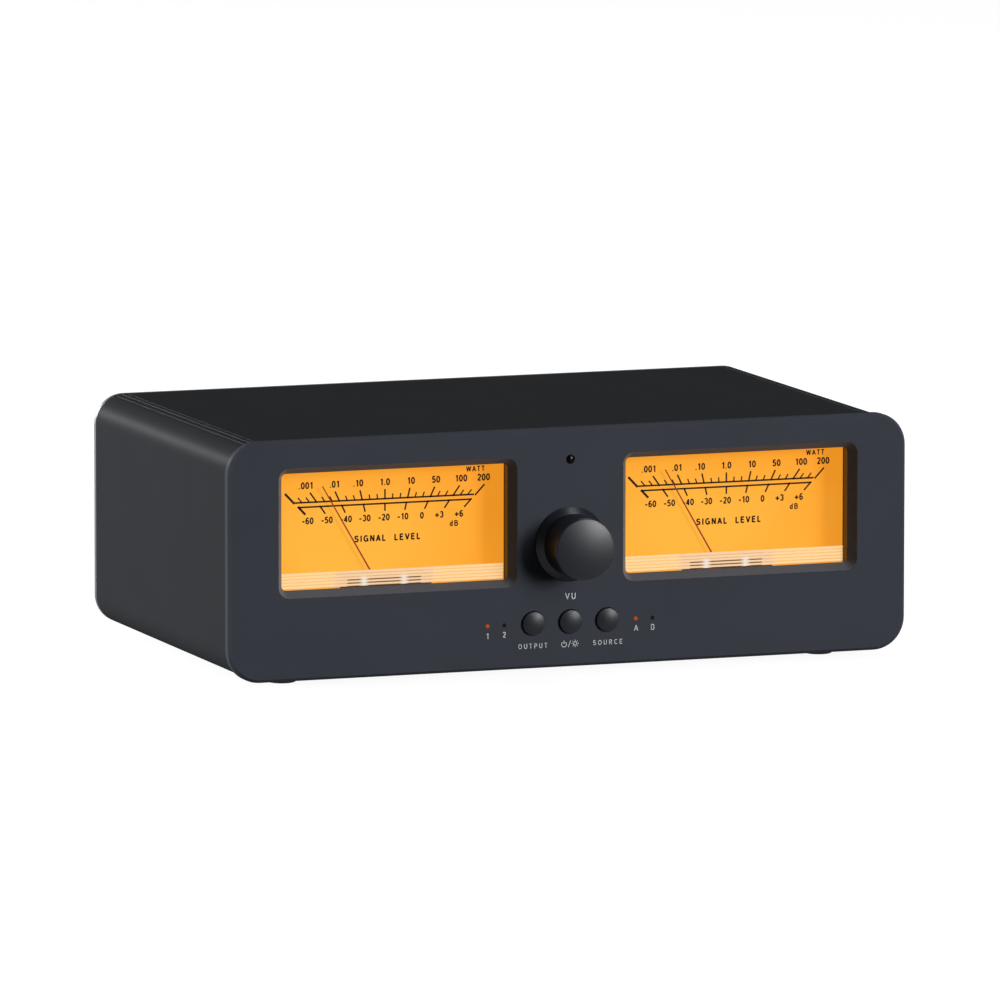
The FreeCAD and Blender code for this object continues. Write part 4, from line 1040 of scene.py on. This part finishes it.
class MakeStage(bpy.types.Operator):
    """Pale floor, soft lights and the photograph's camera"""

    bl_idname = "level_meter.stage"
    bl_label = "Studio"

    # angles in degrees; the camera's lengths in millimetres, the lamps' in metres
    yaw = -20.2438
    pitch = 7.8330
    roll = 0.0544
    distance = 4527.94
    aim = (-27.015, 0.0, 61.863)
    focal_pixels = 12619.18
    picture_pixels = 1000
    sensor = 36.0
    lamp_aim = (0, 0, 0.05)
    # name, direction, distance and side in metres, level
    lamps = (
        ("key_light", (0.523, -0.83, 0.188), 4.5, 1.3, 0.78),
        ("high_light", (0.457, -0.762, 0.457), 2.5, 1.0, 0.18),
        ("top_light", (0.343, 0.0, 0.94), 2.0, 0.6, 0.2),
        ("edge_light", (-0.325, 0.93, 0.175), 2.3, 0.3, 1.05),
        ("left_light", (-0.96, 0.27, 0.03), 2.5, 1.0, 2.2),
        ("right_light", (0.93, 0.35, 0.03), 2.5, 0.6, 0.3),
    )

    def camera(self, context):
        """Camera on a sphere round the aim, looking at it, then rolled about its own axis."""
        yaw, pitch, roll = (math.radians(v) for v in (self.yaw, self.pitch, self.roll))
        back = Vector((math.sin(yaw) * math.cos(pitch), -math.cos(yaw) * math.cos(pitch), math.sin(pitch)))
        right = Vector((math.cos(yaw), math.sin(yaw), 0))
        up = back.cross(right)
        rolled_right = right * math.cos(roll) + up * math.sin(roll)
        rolled_up = up * math.cos(roll) - right * math.sin(roll)
        data = bpy.data.cameras.new("photo_camera")
        data.sensor_width = self.sensor
        data.lens = self.focal_pixels / self.picture_pixels * self.sensor
        data.clip_end = 50.0
        camera = bpy.data.objects.new("photo_camera", data)
        context.scene.collection.objects.link(camera)
        matrix = camera.matrix_world.copy()
        for row in range(3):
            matrix[row][0], matrix[row][1], matrix[row][2] = rolled_right[row], rolled_up[row], back[row]
        target = Vector(at(*self.aim).tolist())
        matrix.translation = target + back * self.distance * MM
        camera.matrix_world = matrix
        context.scene.camera = camera

    def lamp(self, context, name, direction, away, side, level):
        """Square soft light away metres off in a direction, turned to the object. A white matt
        surface that faces it takes the brightness level: power = level * (pi * away) ** 2."""
        toward = Vector(direction).normalized()
        data = bpy.data.lights.new(name, "AREA")
        data.shape = "SQUARE"
        data.size = side
        data.energy = level * (math.pi * away) ** 2
        light = bpy.data.objects.new(name, data)
        context.scene.collection.objects.link(light)
        light.location = Vector(self.lamp_aim) + toward * away
        light.rotation_euler = toward.to_track_quat("Z", "Y").to_euler()

    def rays(self, tree):
        """Whether a ray shows the stage as it is, from the camera, in a mirror or through glass,
        and whether it is a mirror's."""
        path = add_node(tree, "LightPath").outputs
        seen = path["Is Camera Ray"]
        for kind in ("Is Glossy Ray", "Is Transmission Ray"):
            seen = add_node(tree, "Math", {0: seen, 1: path[kind]}, operation="MAXIMUM")
        return seen, path["Is Glossy Ray"]

    def floor(self):
        """White floor: the camera sees it white, less the object's shadow; mirrors see it darken
        toward the dark room in front; other rays see grey paper."""
        reach = 6.0
        material, tree = new_material("white_paper_floor")
        seen, mirrored = self.rays(tree)
        paper = add_node(tree, "BsdfDiffuse", {"Color": rgba("#707070")})
        lifted_paper = add_node(tree, "BsdfDiffuse", {"Color": rgba("#6A6A6A")})
        place = add_node(tree, "NewGeometry").outputs["Position"]
        along = add_node(tree, "SeparateXYZ", {0: place}).outputs[1]
        lit = add_node(tree, "MapRange", {"Value": along, "From Min": -0.25, "From Max": 0.05,
                                          "To Min": 0.02, "To Max": 0.94})
        lit = add_node(tree, "Mix", {"Factor": mirrored, "A": 0.94, "B": lit}, data_type="FLOAT")
        glow = add_node(tree, "Emission", {"Color": (1, 1, 1, 1), "Strength": lit})
        bright = add_node(tree, "AddShader", {0: lifted_paper, 1: glow})
        both = add_node(tree, "MixShader", {0: seen, 1: paper, 2: bright})
        add_node(tree, "OutputMaterial", {"Surface": both})
        mesh = bpy.data.meshes.new("floor")
        mesh.from_pydata([(-reach, -reach, 0), (reach, -reach, 0), (reach, reach, 0), (-reach, reach, 0)],
                         [], [(0, 1, 2, 3)])
        mesh.materials.append(material)
        floor = bpy.data.objects.new("floor", mesh)
        bpy.context.scene.collection.objects.link(floor)

    def world(self, context):
        """A white wall that darkens to a grey ceiling; the room in front is dark in mirrors; as
        light it is a dim grey."""
        world = bpy.data.worlds.new("studio")
        context.scene.world = world
        world.use_nodes = True
        tree = world.node_tree
        tree.nodes.clear()
        seen, mirrored = self.rays(tree)
        direction = add_node(tree, "TexCoord").outputs["Generated"]
        along, up = add_node(tree, "SeparateXYZ", {0: direction}).outputs[1:]
        wall = add_node(tree, "MapRange", {"Value": up, "From Min": 0.03, "From Max": 0.4,
                                           "To Min": 1.0, "To Max": 0.35})
        room = add_node(tree, "MapRange", {"Value": along, "From Min": -0.3, "From Max": 0.2,
                                           "To Min": 0.05, "To Max": 1.0})
        room = add_node(tree, "Mix", {"Factor": mirrored, "A": 1.0, "B": room}, data_type="FLOAT")
        wall = add_node(tree, "Math", {0: wall, 1: room}, operation="MULTIPLY")
        level = add_node(tree, "Mix", {"Factor": seen, "A": 0.04, "B": wall}, data_type="FLOAT")
        sky = add_node(tree, "Background", {"Color": (1, 1, 1, 1), "Strength": level})
        add_node(tree, "OutputWorld", {"Surface": sky})

    def execute(self, context):
        context.scene.view_settings.view_transform = "Standard"
        self.camera(context)
        self.floor()
        self.world(context)
        for row in self.lamps:
            self.lamp(context, *row)
        return {"FINISHED"}


PIECES = (DressCase, MakeSleeve, DressMeters, PrintDials, MakeKnob, MakeButtons, DressIndicators,
          PrintFront, DressElectronics, DressTerminals, MakeStage)


class LevelMeterPanel(bpy.types.Panel):
    """Sizes, colours and pieces of the level meter"""

    bl_idname = "VIEW3D_PT_level_meter"
    bl_label = "Level meter"
    bl_space_type = "VIEW_3D"
    bl_region_type = "UI"
    bl_category = "Level meter"

    def draw(self, context):
        layout = self.layout
        for group in (context.scene.level_meter_sizes, context.scene.level_meter_colours):
            for name in type(group).__annotations__:
                layout.prop(group, name)
        for piece in PIECES:
            layout.operator(piece.bl_idname)


CLASSES = (LevelMeterSizes, LevelMeterColours) + PIECES + (LevelMeterPanel,)


def register():
    for kind in CLASSES:
        bpy.utils.register_class(kind)
    bpy.types.Scene.level_meter_sizes = bpy.props.PointerProperty(type=LevelMeterSizes)
    bpy.types.Scene.level_meter_colours = bpy.props.PointerProperty(type=LevelMeterColours)


def unregister():
    del bpy.types.Scene.level_meter_colours
    del bpy.types.Scene.level_meter_sizes
    for kind in reversed(CLASSES):
        bpy.utils.unregister_class(kind)


def main():
    register()
    for piece in PIECES:
        module, name = piece.bl_idname.split(".")
        getattr(getattr(bpy.ops, module), name)()


if __name__ == "__main__":
    main()
